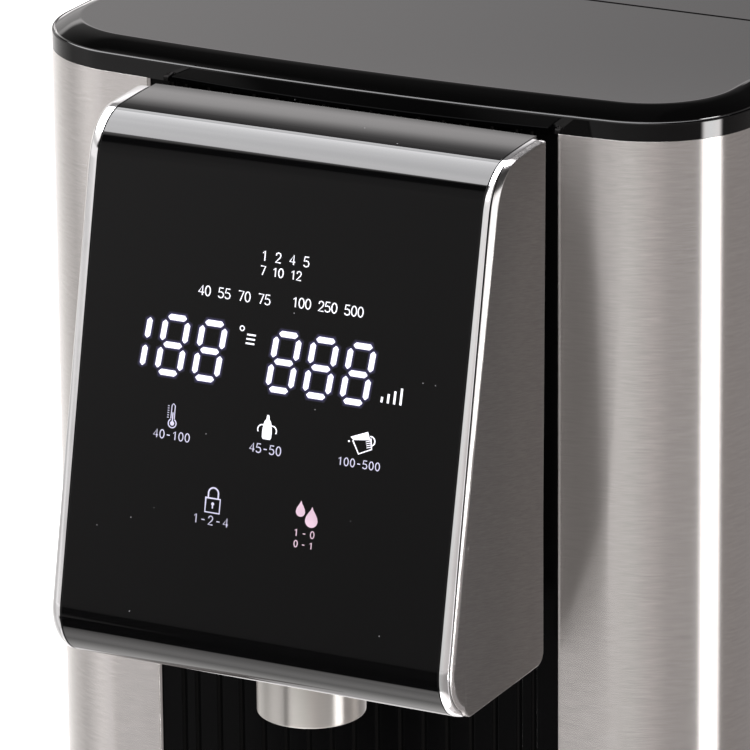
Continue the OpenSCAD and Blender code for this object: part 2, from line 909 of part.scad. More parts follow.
module heater_bracket() {
    color("#c9ccd0") difference() {
        at(-heater_x - bracket_w / 2, works_y, heater_z + heater_len / 2 - bracket_h / 2)
            cube([bracket_w, column_back - works_y, bracket_h]);
        at(-heater_x, works_y, heater_z) cylinder(r = heater_r + set_gap, h = heater_len);
    }
}

module thermal_cutout() {
    z = heater_z + heater_len * cutout_share;
    color("#e9e6de") at(-heater_x, works_y - heater_r - set_gap, z) rotate([90, 0, 0]) {
        cylinder(r = cutout_flange_r, h = cutout_flange_t);
        cylinder(r = cutout_r, h = cutout_h);
    }
}

module pump_cradle() {
    color("#151515") at(0, works_y, base_h) tube(pump_r + cradle_lip, hose_hole_r, cradle_t);
}

module pump_body() {
    color("#dedbd2") at(0, works_y, pump_z) {
        cylinder(r = pump_r, h = pump_h);
        translate([0, 0, -barb_len]) cylinder(r = barb_r, h = barb_len + cut);
        translate([0, 0, pump_out_z - pump_z]) rotate([0, -90, 0])
            cylinder(r = barb_r, h = pump_r + barb_len);
    }
}

module pump_motor() {
    color("#9fa3a6") at(0, works_y, pump_z + pump_h) {
        cylinder(r = motor_r, h = motor_h);
        cylinder(r = motor_r / 3, h = motor_h + shaft_tail);
    }
}

module power_board() {
    color("#245c36") at(power_x, power_y, power_z) cube([power_w, board_t, power_h]);
}

module board_parts() {
    // Transformer, relay, choke and fuse holder, each as shares of the board's width:
    // width, depth, height, place along and place up the board
    blocks = [
        ["#c9a94c", 0.43, 0.33, 0.37, 0.1, 0.17],
        ["#2a52a0", 0.32, 0.27, 0.25, 0.6, 0.13],
        ["#1c1c1c", 0.3, 0.2, 0.3, 0.6, 0.6],
        ["#e6e6e6", 0.37, 0.13, 0.12, 0.13, 0.73]
    ];
    for (b = blocks) {
        size = [b[1], b[2], b[3]] * power_w;
        color(b[0]) at(power_x + b[4] * power_w, power_y - size.y, power_z + b[5] * power_w) cube(size);
    }
    capacitor_d = power_w / 5;
    capacitor_h = power_w / 3;
    for (i = [1 : 3])
        color("#26262b") at(power_x + i * power_w / 4, power_y, power_z + power_h * 3 / 4)
            rotate([90, 0, 0]) cylinder(d = capacitor_d, h = capacitor_h);
}

module inlet_hose() {
    start_y = dock_y - dock_cup_r - dock_wall;
    color("#dcd8cf") {
        at(0, works_y + hose_bend, dock_barb_z) rotate([-90, 0, 0]) hose_run(start_y - works_y - hose_bend);
        at(0, works_y, dock_barb_z + hose_bend) rotate([0, 180, 90]) mirror([1, 0, 0]) hose_elbow();
        at(0, works_y, dock_barb_z + hose_bend) hose_run(pump_z - dock_barb_z - hose_bend);
    }
}

module feed_hose() {
    color("#dcd8cf") {
        at(-pump_r, works_y, pump_out_z) rotate([0, -90, 0]) hose_run(heater_x - pump_r - hose_bend);
        at(-heater_x, works_y, pump_out_z + hose_bend) rotate([180, 0, 0]) hose_elbow();
        at(-heater_x, works_y, pump_out_z + hose_bend)
            hose_run(heater_z - heater_cap_t - pump_out_z - hose_bend);
    }
}

module outlet_hose() {
    start_z = heater_z + heater_len + heater_cap_t;
    end_z = skin_top + head_bottom + insert_top;
    color("#dcd8cf") {
        at(-heater_x, works_y, start_z) hose_run(hose_z - hose_bend - start_z);
        at(-heater_x, works_y, hose_z - hose_bend) hose_elbow();
        at(hose_bend - heater_x, works_y, hose_z) rotate([0, 90, 0]) hose_run(heater_x - 2 * hose_bend);
        at(0, works_y - hose_bend, hose_z)
            rotate([90, 0, 0]) rotate([0, 0, 180]) mirror([0, 0, 1]) hose_elbow();
        at(0, hose_bend - nozzle_y, hose_z) rotate([-90, 0, 0]) hose_run(works_y + nozzle_y - 2 * hose_bend);
        at(0, -nozzle_y, hose_z - hose_bend) rotate([0, 0, 90]) hose_elbow();
        at(0, -nozzle_y, end_z) hose_run(hose_z - hose_bend - end_z);
    }
}

// Dock under the tank

module dock_socket() {
    color("#2b2b2d") at(0, dock_y, 0) difference() {
        union() {
            translate([0, 0, dock_floor]) cylinder(r = dock_cup_r + dock_wall, h = dock_depth);
            translate([0, 0, dock_top - dock_flange_t]) cylinder(r = dock_flange_r, h = dock_flange_t);
            translate([0, 0, dock_barb_z]) rotate([90, 0, 0])
                cylinder(r = barb_r, h = dock_cup_r + dock_wall + barb_len);
        }
        difference() {
            translate([0, 0, dock_floor + dock_wall]) cylinder(r = dock_cup_r, h = far);
            translate([0, 0, dock_floor]) cylinder(r = dock_pin_r, h = stem_end - rest_gap - dock_floor);
        }
        translate([0, -dock_cup_r, dock_barb_z]) rotate([90, 0, 0]) cylinder(r = barb_r / 2, h = far);
    }
}

module dock_seal() {
    color("#7a1f1f") at(0, dock_y, dock_floor + dock_wall)
        tube(dock_cup_r - set_gap, neck_r - neck_t, seal_t);
}

// Drip tray

module tray_plan(inset) {
    intersection() {
        base_plan(inset);
        width_strip(2 * tray_half - 2 * inset);
        depth_strip(-far / 2, tray_back - inset);
    }
}

module drip_tray() {
    color("#1b1b1c") difference() {
        between(tray_z, tray_top) tray_plan(0);
        between(tray_z + tray_wall, tray_top + cut) tray_plan(tray_wall + grate_ledge);
        between(grate_z - rest_gap, tray_top + cut) tray_plan(tray_wall);
        at(0, -far / 2, tray_z - pull_r / 3) rotate([-90, 0, 0])
            cylinder(r = pull_r, h = far / 2 - nose_reach + tray_wall + grate_ledge / 2);
    }
}

module drip_grate() {
    mid = (tray_back - nose_reach) / 2;
    color("#9c9a97") difference() {
        between(grate_z, grate_z + grate_t) tray_plan(tray_wall + slide_gap);
        for (i = [-slot_half_count : slot_half_count])
            at(i * slot_pitch, mid, grate_z - cut) linear_extrude(grate_t + 2 * cut) {
                square([slot_w, slot_len - slot_w], center = true);
                for (s = [-1, 1]) translate([0, s * (slot_len - slot_w) / 2]) circle(d = slot_w);
            }
    }
}

// Water tank

module tank_plan(inset) {
    intersection() {
        body_plan(inset);
        depth_strip(tank_front + inset, far / 2);
    }
}

// A cylinder along the lid's hinge axis, between two distances from the middle
module on_hinge(r, x0, x1) {
    at(x0, body_d, skin_top) rotate([0, 90, 0]) cylinder(r = r, h = x1 - x0);
}

knuckle_gap_x = lid_knuckle_w / 2 + slide_gap;
knuckle_end = knuckle_gap_x + tank_knuckle_w;

module water_tank() {
    grip_top = tank_top - grip_drop;
    color([0.35, 0.38, 0.42, 0.45]) difference() {
        union() {
            difference() {
                between(tank_z, tank_top) tank_plan(0);
                difference() {
                    between(tank_z + tank_floor, tank_top + cut) tank_plan(tank_wall);
                    at(-grip_w / 2 - tank_wall, body_d - grip_d - tank_wall, grip_top - grip_h - tank_wall)
                        cube([grip_w + 2 * tank_wall, far, grip_h + 2 * tank_wall]);
                }
                at(-grip_w / 2, body_d - grip_d, grip_top - grip_h) cube([grip_w, far, grip_h]);
                on_hinge(knuckle_r + slide_gap, -knuckle_gap_x, knuckle_gap_x);
            }
            for (x = [knuckle_gap_x, -knuckle_end])
                on_hinge(knuckle_r, x, x + tank_knuckle_w);
            at(0, dock_y, neck_end) cylinder(r = neck_r, h = neck_len + tank_floor / 2);
        }
        at(0, dock_y, neck_end - cut) cylinder(r = neck_r - neck_t, h = far);
        on_hinge(hinge_pin_d / 2 + press_gap, -far / 2, far / 2);
    }
}

module lid_hinge_pin() {
    color("#c8c8c8") on_hinge(hinge_pin_d / 2, -knuckle_end, knuckle_end);
}

module tank_lid() {
    plug_gap = tank_wall + slide_gap;
    color("#131314") difference() {
        union() {
            between(skin_top, skin_top + rim_h) tank_plan(0);
            crown(tank_front, far / 2, 0);
            between(tank_top - plug_h, skin_top + cut) difference() {
                tank_plan(plug_gap);
                tank_plan(plug_gap + plug_t);
            }
            on_hinge(knuckle_r, -lid_knuckle_w / 2, lid_knuckle_w / 2);
        }
        between(skin_top - cut, skin_top + rim_h - lid_top_t) tank_plan(plug_gap + plug_t);
        for (s = [-1, 1])
            on_hinge(knuckle_r + slide_gap, s > 0 ? lid_knuckle_w / 2 : -knuckle_end - slide_gap,
                s > 0 ? knuckle_end + slide_gap : -lid_knuckle_w / 2);
        on_hinge(hinge_pin_d / 2 + run_gap, -lid_knuckle_w, lid_knuckle_w);
    }
}

module lid_seal() {
    plug_inner = tank_wall + slide_gap + plug_t + set_gap;
    top = skin_top + rim_h - lid_top_t - set_gap;
    color("#c9c9c9") between(top - seal_t, top) difference() {
        tank_plan(plug_inner);
        tank_plan(plug_inner + seal_t);
    }
}

module valve_body() {
    flange_z = tank_z + tank_floor;
    body_r = neck_r - neck_t - set_gap;
    post_place = body_r - post_r - post_inset;
    color("#e4e2dc") at(0, dock_y, 0) difference() {
        union() {
            translate([0, 0, stem_end + stem_bare]) cylinder(r = body_r, h = flange_z - stem_end - stem_bare);
            translate([0, 0, flange_z]) cylinder(r = neck_r + valve_flange, h = valve_seat - flange_z);
            translate([0, 0, cage_z]) cylinder(r = body_r, h = cage_t);
            for (a = [0 : 120 : 240]) rotate([0, 0, a])
                translate([post_place, 0, flange_z]) cylinder(r = post_r, h = cage_z - flange_z + cage_t / 2);
        }
        translate([0, 0, stem_end]) cylinder(r = stem_r + run_gap, h = valve_seat - stem_end + cut);
        translate([0, 0, cage_z - cut]) cylinder(r = stem_r / 2 + run_gap, h = far);
        for (a = [60 : 120 : 300]) rotate([0, 0, a])
            translate([port_place, 0, stem_end]) cylinder(r = port_r, h = valve_seat - stem_end + cut);
    }
}

module valve_plunger() {
    color("#2f6fb0") at(0, dock_y, 0) {
        translate([0, 0, stem_end]) cylinder(r = stem_r, h = plunger_z - stem_end);
        translate([0, 0, plunger_z]) cylinder(r = plunger_head_r, h = plunger_t);
        translate([0, 0, plunger_z]) cylinder(r = stem_r / 2, h = cage_z + cage_t + stem_bare - plunger_z);
    }
}

// A coil spring as one swept tube with flat triangle ends
module valve_spring() {
    sides = 6;
    rings = spring_turns * 10;
    wire_r = spring_wire / 2;
    coil_r = plunger_head_r - wire_r - spring_margin;
    seat = plunger_z + plunger_t + set_gap + wire_r;
    rise = spring_len - 2 * (set_gap + wire_r);
    points = [for (i = [0 : rings], k = [0 : sides - 1])
        let (turn = 360 * spring_turns * i / rings, a = 360 * k / sides, r = coil_r + wire_r * cos(a))
        [r * cos(turn), r * sin(turn), seat + rise * i / rings + wire_r * sin(a)]];
    side_faces = [for (i = [0 : rings - 1], k = [0 : sides - 1])
        let (a = i * sides + k, b = i * sides + (k + 1) % sides)
        each [[a, a + sides, b], [b, a + sides, b + sides]]];
    end_faces = [for (k = [1 : sides - 2]) each
        [[0, k, k + 1], [rings * sides, rings * sides + k + 1, rings * sides + k]]];
    color("#b5b5b5") at(0, dock_y, 0) polyhedron(points, concat(side_faces, end_faces));
    echo(spring_gap = rise / spring_turns - spring_wire);
}

module filter_cartridge() {
    floor_z = tank_z + tank_floor;
    color("#f1f1ee") at(0, dock_y, floor_z) difference() {
        cylinder(r = filter_r, h = filter_h);
        translate([0, 0, -cut]) cylinder(r = filter_r - filter_t, h = filter_h + cut - filter_t);
        for (i = [0 : filter_slots - 1]) rotate([0, 0, 360 * i / filter_slots])
            translate([0, -filter_slot_w / 2, filter_foot])
                cube([far, filter_slot_w, filter_h - filter_foot - filter_head]);
    }
}

base_shell();
bottom_plate();
rubber_feet();
base_screws();
cord_gland();
column_frame();
back_plate();
steel_panel_left();
steel_panel_right();
ribbed_panel();
top_rim();
front_cover();
head_housing();
head_cheek_left();
head_cheek_right();
head_trim_left();
head_trim_right();
display_glass();
display_board();
led_block();
nozzle_sleeve();
nozzle_insert();
heater_tube();
heater_caps();
heater_bracket();
thermal_cutout();
pump_body();
pump_motor();
pump_cradle();
power_board();
board_parts();
inlet_hose();
feed_hose();
outlet_hose();
dock_socket();
dock_seal();
drip_tray();
drip_grate();
water_tank();
valve_body();
filter_cartridge();
lid_hinge_pin();
tank_lid();
lid_seal();
valve_plunger();
valve_spring();
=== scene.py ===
# %% [markdown]
# A countertop hot-water dispenser: two brushed steel panels wrap a black column, a glass-fronted
# head leans out of it over a short steel nozzle, and a gloss black lid closes the top. The solids,
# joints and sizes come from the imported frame. This lesson dresses them: it rebuilds the pieces that
# a camera sees with true roundings, and gives every other piece its own finish. Lengths are written
# in millimetres, as on a drawing, and become metres when a mesh is made.

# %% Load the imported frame
import json
import math
from functools import lru_cache

import bmesh
import bpy
from mathutils import Matrix, Vector

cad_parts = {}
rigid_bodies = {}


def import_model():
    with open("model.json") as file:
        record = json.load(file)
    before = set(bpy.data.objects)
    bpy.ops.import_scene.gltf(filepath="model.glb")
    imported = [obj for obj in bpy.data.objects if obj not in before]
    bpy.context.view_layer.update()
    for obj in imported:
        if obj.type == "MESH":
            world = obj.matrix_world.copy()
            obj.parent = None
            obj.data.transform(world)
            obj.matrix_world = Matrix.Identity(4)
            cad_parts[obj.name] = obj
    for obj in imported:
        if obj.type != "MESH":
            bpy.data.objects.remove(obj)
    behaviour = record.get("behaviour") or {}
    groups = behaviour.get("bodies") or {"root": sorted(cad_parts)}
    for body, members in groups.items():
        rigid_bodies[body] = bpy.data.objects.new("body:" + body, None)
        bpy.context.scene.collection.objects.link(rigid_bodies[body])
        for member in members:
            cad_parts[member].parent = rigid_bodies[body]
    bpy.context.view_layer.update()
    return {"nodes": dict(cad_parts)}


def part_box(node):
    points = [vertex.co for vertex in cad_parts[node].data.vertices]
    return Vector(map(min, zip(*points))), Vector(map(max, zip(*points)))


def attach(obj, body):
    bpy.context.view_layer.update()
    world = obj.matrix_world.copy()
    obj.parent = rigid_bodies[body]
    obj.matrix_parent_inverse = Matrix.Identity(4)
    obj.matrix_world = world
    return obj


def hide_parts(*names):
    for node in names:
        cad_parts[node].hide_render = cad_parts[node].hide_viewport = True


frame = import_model()
scene = bpy.context.scene
MM = 0.001

# %% [markdown]
# The camera stands far off to the right, a little above the head, with a long lens, so upright
# edges stay nearly parallel. Its three axes were worked out from the directions of the head's
# edges, so they are written as directions and not as angles.

# %% Camera
EYE = Vector((0.66239, -1.34692, 0.72371))
LENS_ACROSS = Vector((0.89060, 0.45471, -0.00847))
LENS_UP = Vector((-0.13892, 0.28973, 0.94697))
camera_data = bpy.data.cameras.new("camera")
camera_data.sensor_width = 36
camera_data.lens = 334.06
camera = bpy.data.objects.new("camera", camera_data)
turn = Matrix((LENS_ACROSS, LENS_UP, LENS_ACROSS.cross(LENS_UP))).transposed()
camera.matrix_world = Matrix.Translation(EYE) @ turn.to_4x4()
scene.collection.objects.link(camera)
scene.camera = camera
print("camera", round((EYE - Vector((0, 0, 0.25))).length, 2), "m from the column")

# %% [markdown]
# Every finish is one Principled shader with a small web of procedural textures in front of it. A
# helper starts each one: numbers that hold all over the surface are set straight on the shader's
# sockets, and only what varies (colour, roughness, bump) is linked. A finish remembers which slot of the
# record it belongs to, because several can share one: the cover, the rim and the fluted panel are all
# gloss black, but they don't shine alike.

# %% A helper that starts a finish
def start_finish(name, colour, roughness, slot=None, **sockets):
    material = bpy.data.materials.new("finish_" + name)
    material.use_nodes = True
    material["slot"] = slot or name
    shader = material.node_tree.nodes["Principled BSDF"]
    shader.inputs["Base Color"].default_value = (*colour, 1)
    shader.inputs["Roughness"].default_value = roughness
    for socket, value in sockets.items():
        shader.inputs[socket.replace("_", " ")].default_value = value
    return material, material.node_tree, shader


def add_node(tree, kind, **settings):
    node = tree.nodes.new("ShaderNode" + kind)
    for name, value in settings.items():
        if name in node.inputs:
            node.inputs[name].default_value = value
        else:
            setattr(node, name, value)
    return node


def math_node(tree, operation, *values):
    """A sum on numbers or on other nodes' outputs."""
    node = add_node(tree, "Math", operation=operation)
    for i, value in enumerate(values):
        if isinstance(value, (int, float)):
            node.inputs[i].default_value = value
        else:
            tree.links.new(value, node.inputs[i])
    return node.outputs["Value"]


def stretched_noise(tree, stretch, detail=4.0, grain=0.6, place=None):
    """Noise in the object's own metres, with so many waves per metre along each axis."""
    place = place or add_node(tree, "TexCoord").outputs["Object"]
    scale = add_node(tree, "Mapping", Scale=stretch)
    noise = add_node(tree, "TexNoise", Scale=1.0, Detail=detail, Roughness=grain)
    tree.links.new(place, scale.inputs["Vector"])
    tree.links.new(scale.outputs["Vector"], noise.inputs["Vector"])
    return noise.outputs["Fac"]


def between_values(tree, source, low, high, start=0.3, end=0.7):
    """Turns a noise into a number between low and high."""
    node = add_node(tree, "MapRange")
    node.inputs["From Min"].default_value = start
    node.inputs["From Max"].default_value = end
    node.inputs["To Min"].default_value = low
    node.inputs["To Max"].default_value = high
    tree.links.new(source, node.inputs["Value"])
    return node.outputs["Result"]


def between_colours(tree, source, low, high):
    mix = add_node(tree, "Mix", data_type="RGBA")
    mix.inputs[6].default_value = (*low, 1)
    mix.inputs[7].default_value = (*high, 1)
    tree.links.new(source, mix.inputs["Factor"])
    return mix.outputs[2]


def vary_colour(tree, shader, source, colour, darker, lighter):
    """Lets a noise swing the colour between two shares of itself."""
    dark = [c * darker for c in colour]
    light = [c * lighter for c in colour]
    shade = between_values(tree, source, 0, 1)
    tree.links.new(between_colours(tree, shade, dark, light), shader.inputs["Base Color"])


def vary_gloss(tree, shader, source, low, high):
    tree.links.new(between_values(tree, source, low, high), shader.inputs["Roughness"])


def add_bump(tree, shader, source, strength, depth):
    bump = add_node(tree, "Bump", Strength=strength, Distance=depth * MM)
    tree.links.new(source, bump.inputs["Height"])
    tree.links.new(bump.outputs["Normal"], shader.inputs["Normal"])


print("finish helpers ready")

# %% [markdown]
# Brushed steel is dragged past a belt in one direction. The scratches lie flat along the brushing and
# scatter light across it, so a lamp is drawn out into a tall stripe with sharp sides. The shader does
# that with full anisotropy: the tangent runs round the column and a quarter turn puts the blur
# upright. Long thin noise then adds the single scratches to colour and gloss. A bump would be too coarse:
# these scratches are finer than a pixel, and the blur already stands for them.

# %% Brushed steel finishes
SCRATCH = (220, 220, 4200)
SCRATCH_GLOSS = 0.012


def brushed(name, colour, roughness, stretch=SCRATCH, dip=0, spread=0.09):
    """Brushed metal; dip is how many degrees the brushing falls towards the back."""
    material, tree, shader = start_finish(name, colour, roughness, Metallic=1.0, Anisotropic=1.0)
    shader.inputs["Anisotropic Rotation"].default_value = 0.25 + dip / 360
    around = add_node(tree, "Tangent", direction_type="RADIAL", axis="Z")
    tree.links.new(around.outputs["Tangent"], shader.inputs["Tangent"])
    place = add_node(tree, "TexCoord")
    tilt = add_node(tree, "Mapping", Rotation=(math.radians(dip), 0, 0))
    tree.links.new(place.outputs["Object"], tilt.inputs["Vector"])
    scratches = stretched_noise(tree, stretch, 5.0, 0.72, tilt.outputs["Vector"])
    vary_colour(tree, shader, scratches, colour, 1 - spread, 1 + spread)
    vary_gloss(tree, shader, scratches, roughness - SCRATCH_GLOSS, roughness + SCRATCH_GLOSS)
    return material


brushed_steel = brushed("brushed_steel", (0.62, 0.595, 0.58), 0.26, spread=0.085)
# The cheeks' steel gets about half the column steel's colour. This darkness is painted shade on the head's
# sides, which mirror the darker room to the right and behind.
cheek_steel = brushed("cheek_steel", (0.335, 0.323, 0.318), 0.36, dip=14, spread=0.17)
nozzle_steel = brushed("nozzle_steel", (0.66, 0.64, 0.61), 0.36, spread=0.02)
grate_steel = brushed("grate_steel", (0.55, 0.54, 0.53), 0.3, stretch=(9, 900, 900))
print("brushed finishes", 4)

# %% [markdown]
# Gloss black plastic and the black glass hold a mirror image of the room. What makes them real is
# what breaks the mirror: a faint waviness from the mould and a few specks of dust. The dust is a
# Voronoi pattern cut off close to its cell centres, and a random number for each cell decides which
# few specks stay. Satin plastic and rubber get a fine pebbled skin and no dust.

# %% Gloss black, black glass and satin black
DUST_GRAINS = 520
DUST_SHARE = 0.02
DUST_COLOUR = (0.16, 0.16, 0.165)
DUST_ROUGHNESS = 0.6


def dust(tree, shader, colour):
    """Mixes sparse pale specks into a finish and returns where they lie."""
    place = add_node(tree, "TexCoord")
    cells = add_node(tree, "TexVoronoi", Scale=DUST_GRAINS)
    tree.links.new(place.outputs["Object"], cells.inputs["Vector"])
    centre = between_values(tree, cells.outputs["Distance"], 1, 0, 0.05, 0.09)
    thin = add_node(tree, "TexWhiteNoise", noise_dimensions="3D")
    tree.links.new(cells.outputs["Position"], thin.inputs["Vector"])
    kept = math_node(tree, "GREATER_THAN", thin.outputs["Value"], 1 - DUST_SHARE)
    speck = math_node(tree, "MULTIPLY", centre, kept)
    tree.links.new(between_colours(tree, speck, colour, DUST_COLOUR), shader.inputs["Base Color"])
    return speck


def gloss(name, colour, roughness, wave, **sockets):
    material, tree, shader = start_finish(name, colour, roughness, **sockets)
    dull = between_values(tree, dust(tree, shader, colour), roughness, DUST_ROUGHNESS, 0, 1)
    tree.links.new(dull, shader.inputs["Roughness"])
    add_bump(tree, shader, stretched_noise(tree, (40, 40, 40), 2.0), wave, 0.02)
    return material


def moulded(name, colour, roughness, grain=2600, depth=0.02, **sockets):
    """Moulded plastic or rubber: a fine pebbled skin, and a colour that is not quite even."""
    material, tree, shader = start_finish(name, colour, roughness, **sockets)
    add_bump(tree, shader, stretched_noise(tree, (grain, grain, grain), 3.0), 0.25, depth)
    patches = stretched_noise(tree, (30, 30, 30), 3.0)
    vary_colour(tree, shader, patches, colour, 0.9, 1.08)
    vary_gloss(tree, shader, patches, roughness - 0.05, roughness + 0.06)
    return material


DEEP_BLACK = (0.0008, 0.0008, 0.0009)
black_gloss = gloss("black_gloss", DEEP_BLACK, 0.04, 0.02)
rim_black = gloss("rim_black", DEEP_BLACK, 0.04, 0.02, slot="black_gloss", Specular_IOR_Level=0.3)
display_glass = gloss("display_glass", (0.0006, 0.0006, 0.0007), 0.015, 0.008)
black_satin = moulded("black_satin", (0.008, 0.008, 0.0085), 0.42)
rubber_black = moulded("rubber_black", (0.016, 0.016, 0.016), 0.75, 1800, 0.04)
fluted_black = moulded("fluted_black", (0.0015, 0.0015, 0.0016), 0.16, slot="black_gloss",
                       Specular_IOR_Level=0.05)
print("black finishes", 6)

# %% [markdown]
# The column's plan is a rounded oblong with a slightly bowed front. Every outer piece follows that
# outline, so it is written once: a list of stations, each a point and the outward direction there.

# %% Outline of the column
BODY_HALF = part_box("back_plate")[1].x / MM
BODY_DEPTH = 200
CORNER_R = 26
FRONT_BOW = 2.2
FRONT_Y = -68.8
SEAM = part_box("back_plate")[1].y / MM - FRONT_Y
STEEL_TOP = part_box("steel_panel_right")[1].z / MM
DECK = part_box("steel_panel_right")[0].z / MM
corner_x = BODY_HALF - CORNER_R
bow_r = (corner_x ** 2 + FRONT_BOW ** 2) / (2 * FRONT_BOW)
bow_y = bow_r - FRONT_BOW
corner_y = bow_y - math.sqrt((bow_r - CORNER_R) ** 2 - corner_x ** 2)
swing = math.degrees(math.asin(corner_x / (bow_r - CORNER_R)))


def arc(cx, cy, r, start, end, count):
    """Stations on an arc, in degrees, with the outward direction away from the centre."""
    stations = []
    for i in range(count + 1):
        a = math.radians(start + (end - start) * i / count)
        out = (math.cos(a), math.sin(a))
        stations.append((cx + r * out[0], cy + r * out[1], *out))
    return stations


def mirrored(stations):
    return [(-x, y, -nx, ny) for x, y, nx, ny in reversed(stations)]


def side_and_corner(rear):
    """The right side from a depth forward, round the corner."""
    return [(BODY_HALF, rear, 1, 0)] + arc(corner_x, corner_y, CORNER_R, 0, swing - 90, 28)


def front_outline(rear):
    bow = arc(0, bow_y, bow_r, swing - 90, -90 - swing, 40)
    right = side_and_corner(rear)
    return right[:-1] + bow + mirrored(right)[1:]


def rear_outline(start):
    back = BODY_DEPTH - CORNER_R
    corner = arc(corner_x, back, CORNER_R, 0, 90, 28)
    right = [(BODY_HALF, start, 1, 0)] + corner
    return right + mirrored(right)


print("outline", len(front_outline(SEAM)), "stations")

# %% [markdown]
# A sweep carries a cross-section along the stations, which keeps neat rows of four-sided faces and lets
# an edge be rounded by drawing it round in the cross-section. A loft does the same between any rows of
# points. Both return plain points and faces, so that several can be joined before a mesh is made.

# %% Sweep and loft
def sweep(stations, section, closed=False):
    """Carries a closed section of (outward, height) along stations on the plan."""
    rows = [[(x + nx * out, FRONT_Y + y + ny * out, z) for out, z in section]
            for x, y, nx, ny in stations]
    return loft(rows, closed)


def loft(rows, closed=False):
    """Faces between rows of points that are each a ring; the two ends get caps unless closed."""
    count = len(rows[0])
    points = [p for row in rows for p in row]
    faces = []
    for r in range(len(rows) if closed else len(rows) - 1):
        a, b = r * count, (r + 1) % len(rows) * count
        faces += [(a + i, a + (i + 1) % count, b + (i + 1) % count, b + i) for i in range(count)]
    if not closed:
        faces += [tuple(range(count)), tuple(range(len(points) - count, len(points)))]
    return points, faces


def joined(*parts):
    points, faces = [], []
    for more_points, more_faces in parts:
        shift = len(points)
        points += more_points
        faces += [tuple(i + shift for i in face) for face in more_faces]
    return points, faces


print("sweep, loft and joined ready")

# %% [markdown]
# A piece is a mesh that rides on one body of the frame, stands for one or more of its solids and
# wears one finish. The helper welds and orients the mesh, then shades it smooth except where two
# faces meet at a real edge. Faces with many corners are flat ends, and stay flat. A mirror finish shows
# every error of shading, so the shading of a corner is weighted by the area of the faces round it: a
# broad flat face then stays flat right up to the small rounding at its edge.

# %% A helper that makes a piece
WELD = 0.002


def welded_mesh(name, form, unit=1.0):
    """A closed mesh whose doubled points are joined and whose faces all look outwards."""
    points, faces = form
    mesh = bpy.data.meshes.new(name)
    mesh.from_pydata([Vector(p) * unit for p in points], [], faces)
    work = bmesh.new()
    work.from_mesh(mesh)
    bmesh.ops.remove_doubles(work, verts=work.verts, dist=WELD * unit)
    bmesh.ops.recalc_face_normals(work, faces=work.faces)
    if work.calc_volume(signed=True) < 0:
        bmesh.ops.reverse_faces(work, faces=work.faces)
    work.to_mesh(mesh)
    work.free()
    return mesh


def make_piece(name, form, finish, body="machine", stands_for=(), crisp=32):
    mesh = welded_mesh(name, form, MM)
    mesh.set_sharp_from_angle(angle=math.radians(crisp))
    for face in mesh.polygons:
        face.use_smooth = len(face.vertices) <= 4
    return dress(bpy.data.objects.new(name, mesh), finish, body, stands_for)


def dress(piece, finish, body, stands_for):
    piece.data.materials.clear()
    piece.data.materials.append(finish)
    piece.modifiers.new("even_shading", "WEIGHTED_NORMAL").keep_sharp = True
    scene.collection.objects.link(piece)
    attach(piece, body)
    if stands_for:
        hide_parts(*stands_for)
    print(piece.name, len(piece.data.polygons), "faces")
    return piece


print("piece helper ready, welding at", WELD, "mm")

# %% [markdown]
# Each steel panel is one sheet, 0.8 mm thick, bent round the front corner. Its front edge is folded
# back into the slot beside the black panel, and that fold is what catches the light as a thin bright
# line. So the outline starts inside the slot, turns the fold on a small radius, swings a little past
# square, as a hemmed edge does, and only then runs along the bow. The cut edges at the top and bottom
# are slightly rounded.

# %% Steel side panels
SHEET = 0.8
SLOT_HALF = 49.7
FOLD_DEPTH = 3.5
FOLD_R = 0.35
HEM = 0.07
HEM_TURN = 36
SHEET_EDGE = 0.04
PANEL_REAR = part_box("steel_panel_right")[1].y / MM - FRONT_Y
fold_x = SLOT_HALF + FOLD_R
fold_y = bow_y - math.sqrt((bow_r - FOLD_R) ** 2 - fold_x ** 2)
fold = arc(fold_x, fold_y - HEM, FOLD_R, 180, 270 + HEM_TURN, 16)
hem_swing = math.degrees(math.asin((fold_x + FOLD_R * math.sin(math.radians(HEM_TURN))) / bow_r))
front = arc(0, bow_y, bow_r, hem_swing - 90, swing - 90, 4)
right_skin = [(SLOT_HALF, fold_y - FOLD_R + FOLD_DEPTH, -1, 0)] + fold + front
right_skin += list(reversed(side_and_corner(PANEL_REAR)))[1:]


def edge_arc(cx, cz, r, start, end, count=4):
    """Points of a rounded edge in a section, from start to end in degrees."""
    return [(x, z) for x, z, _, _ in arc(cx, cz, r, start, end, count)]


def sheet_section(thick, low, high, r):
    """A sheet whose outer edges are rolled over and whose inner edges are nearly square."""
    return (edge_arc(-r, high - r, r, 0, 90, 6) + [(-thick, high), (-thick, low)]
            + edge_arc(-r, low + r, r, 270, 360, 6))


steel_edge = sheet_section(SHEET, DECK, STEEL_TOP, SHEET_EDGE)
make_piece("steel_right", sweep(right_skin, steel_edge), brushed_steel, stands_for=["steel_panel_right"])
make_piece("steel_left", sweep(mirrored(right_skin), steel_edge), brushed_steel,
           stands_for=["steel_panel_left"])

# %% [markdown]
# Between the panels sits a black panel with upright flutes. Its plan is drawn as one line: along the
# bow, dipping into a groove at every pitch, with a border groove near each edge. The groove's mouth is
# softened by two points each side, because a sharp lip would glint like metal.

# %% Fluted front panel
PANEL_SET = 1.0
PANEL_T = 3.4
PANEL_HALF = SLOT_HALF - 0.1
RIB_PITCH = 5.73
RIB_COUNT = 7
GROOVE_W = 1.6
GROOVE_D = 0.9
BORDER = 43.6


def bow_depth(x, inset):
    return bow_y - math.sqrt((bow_r - inset) ** 2 - x * x)


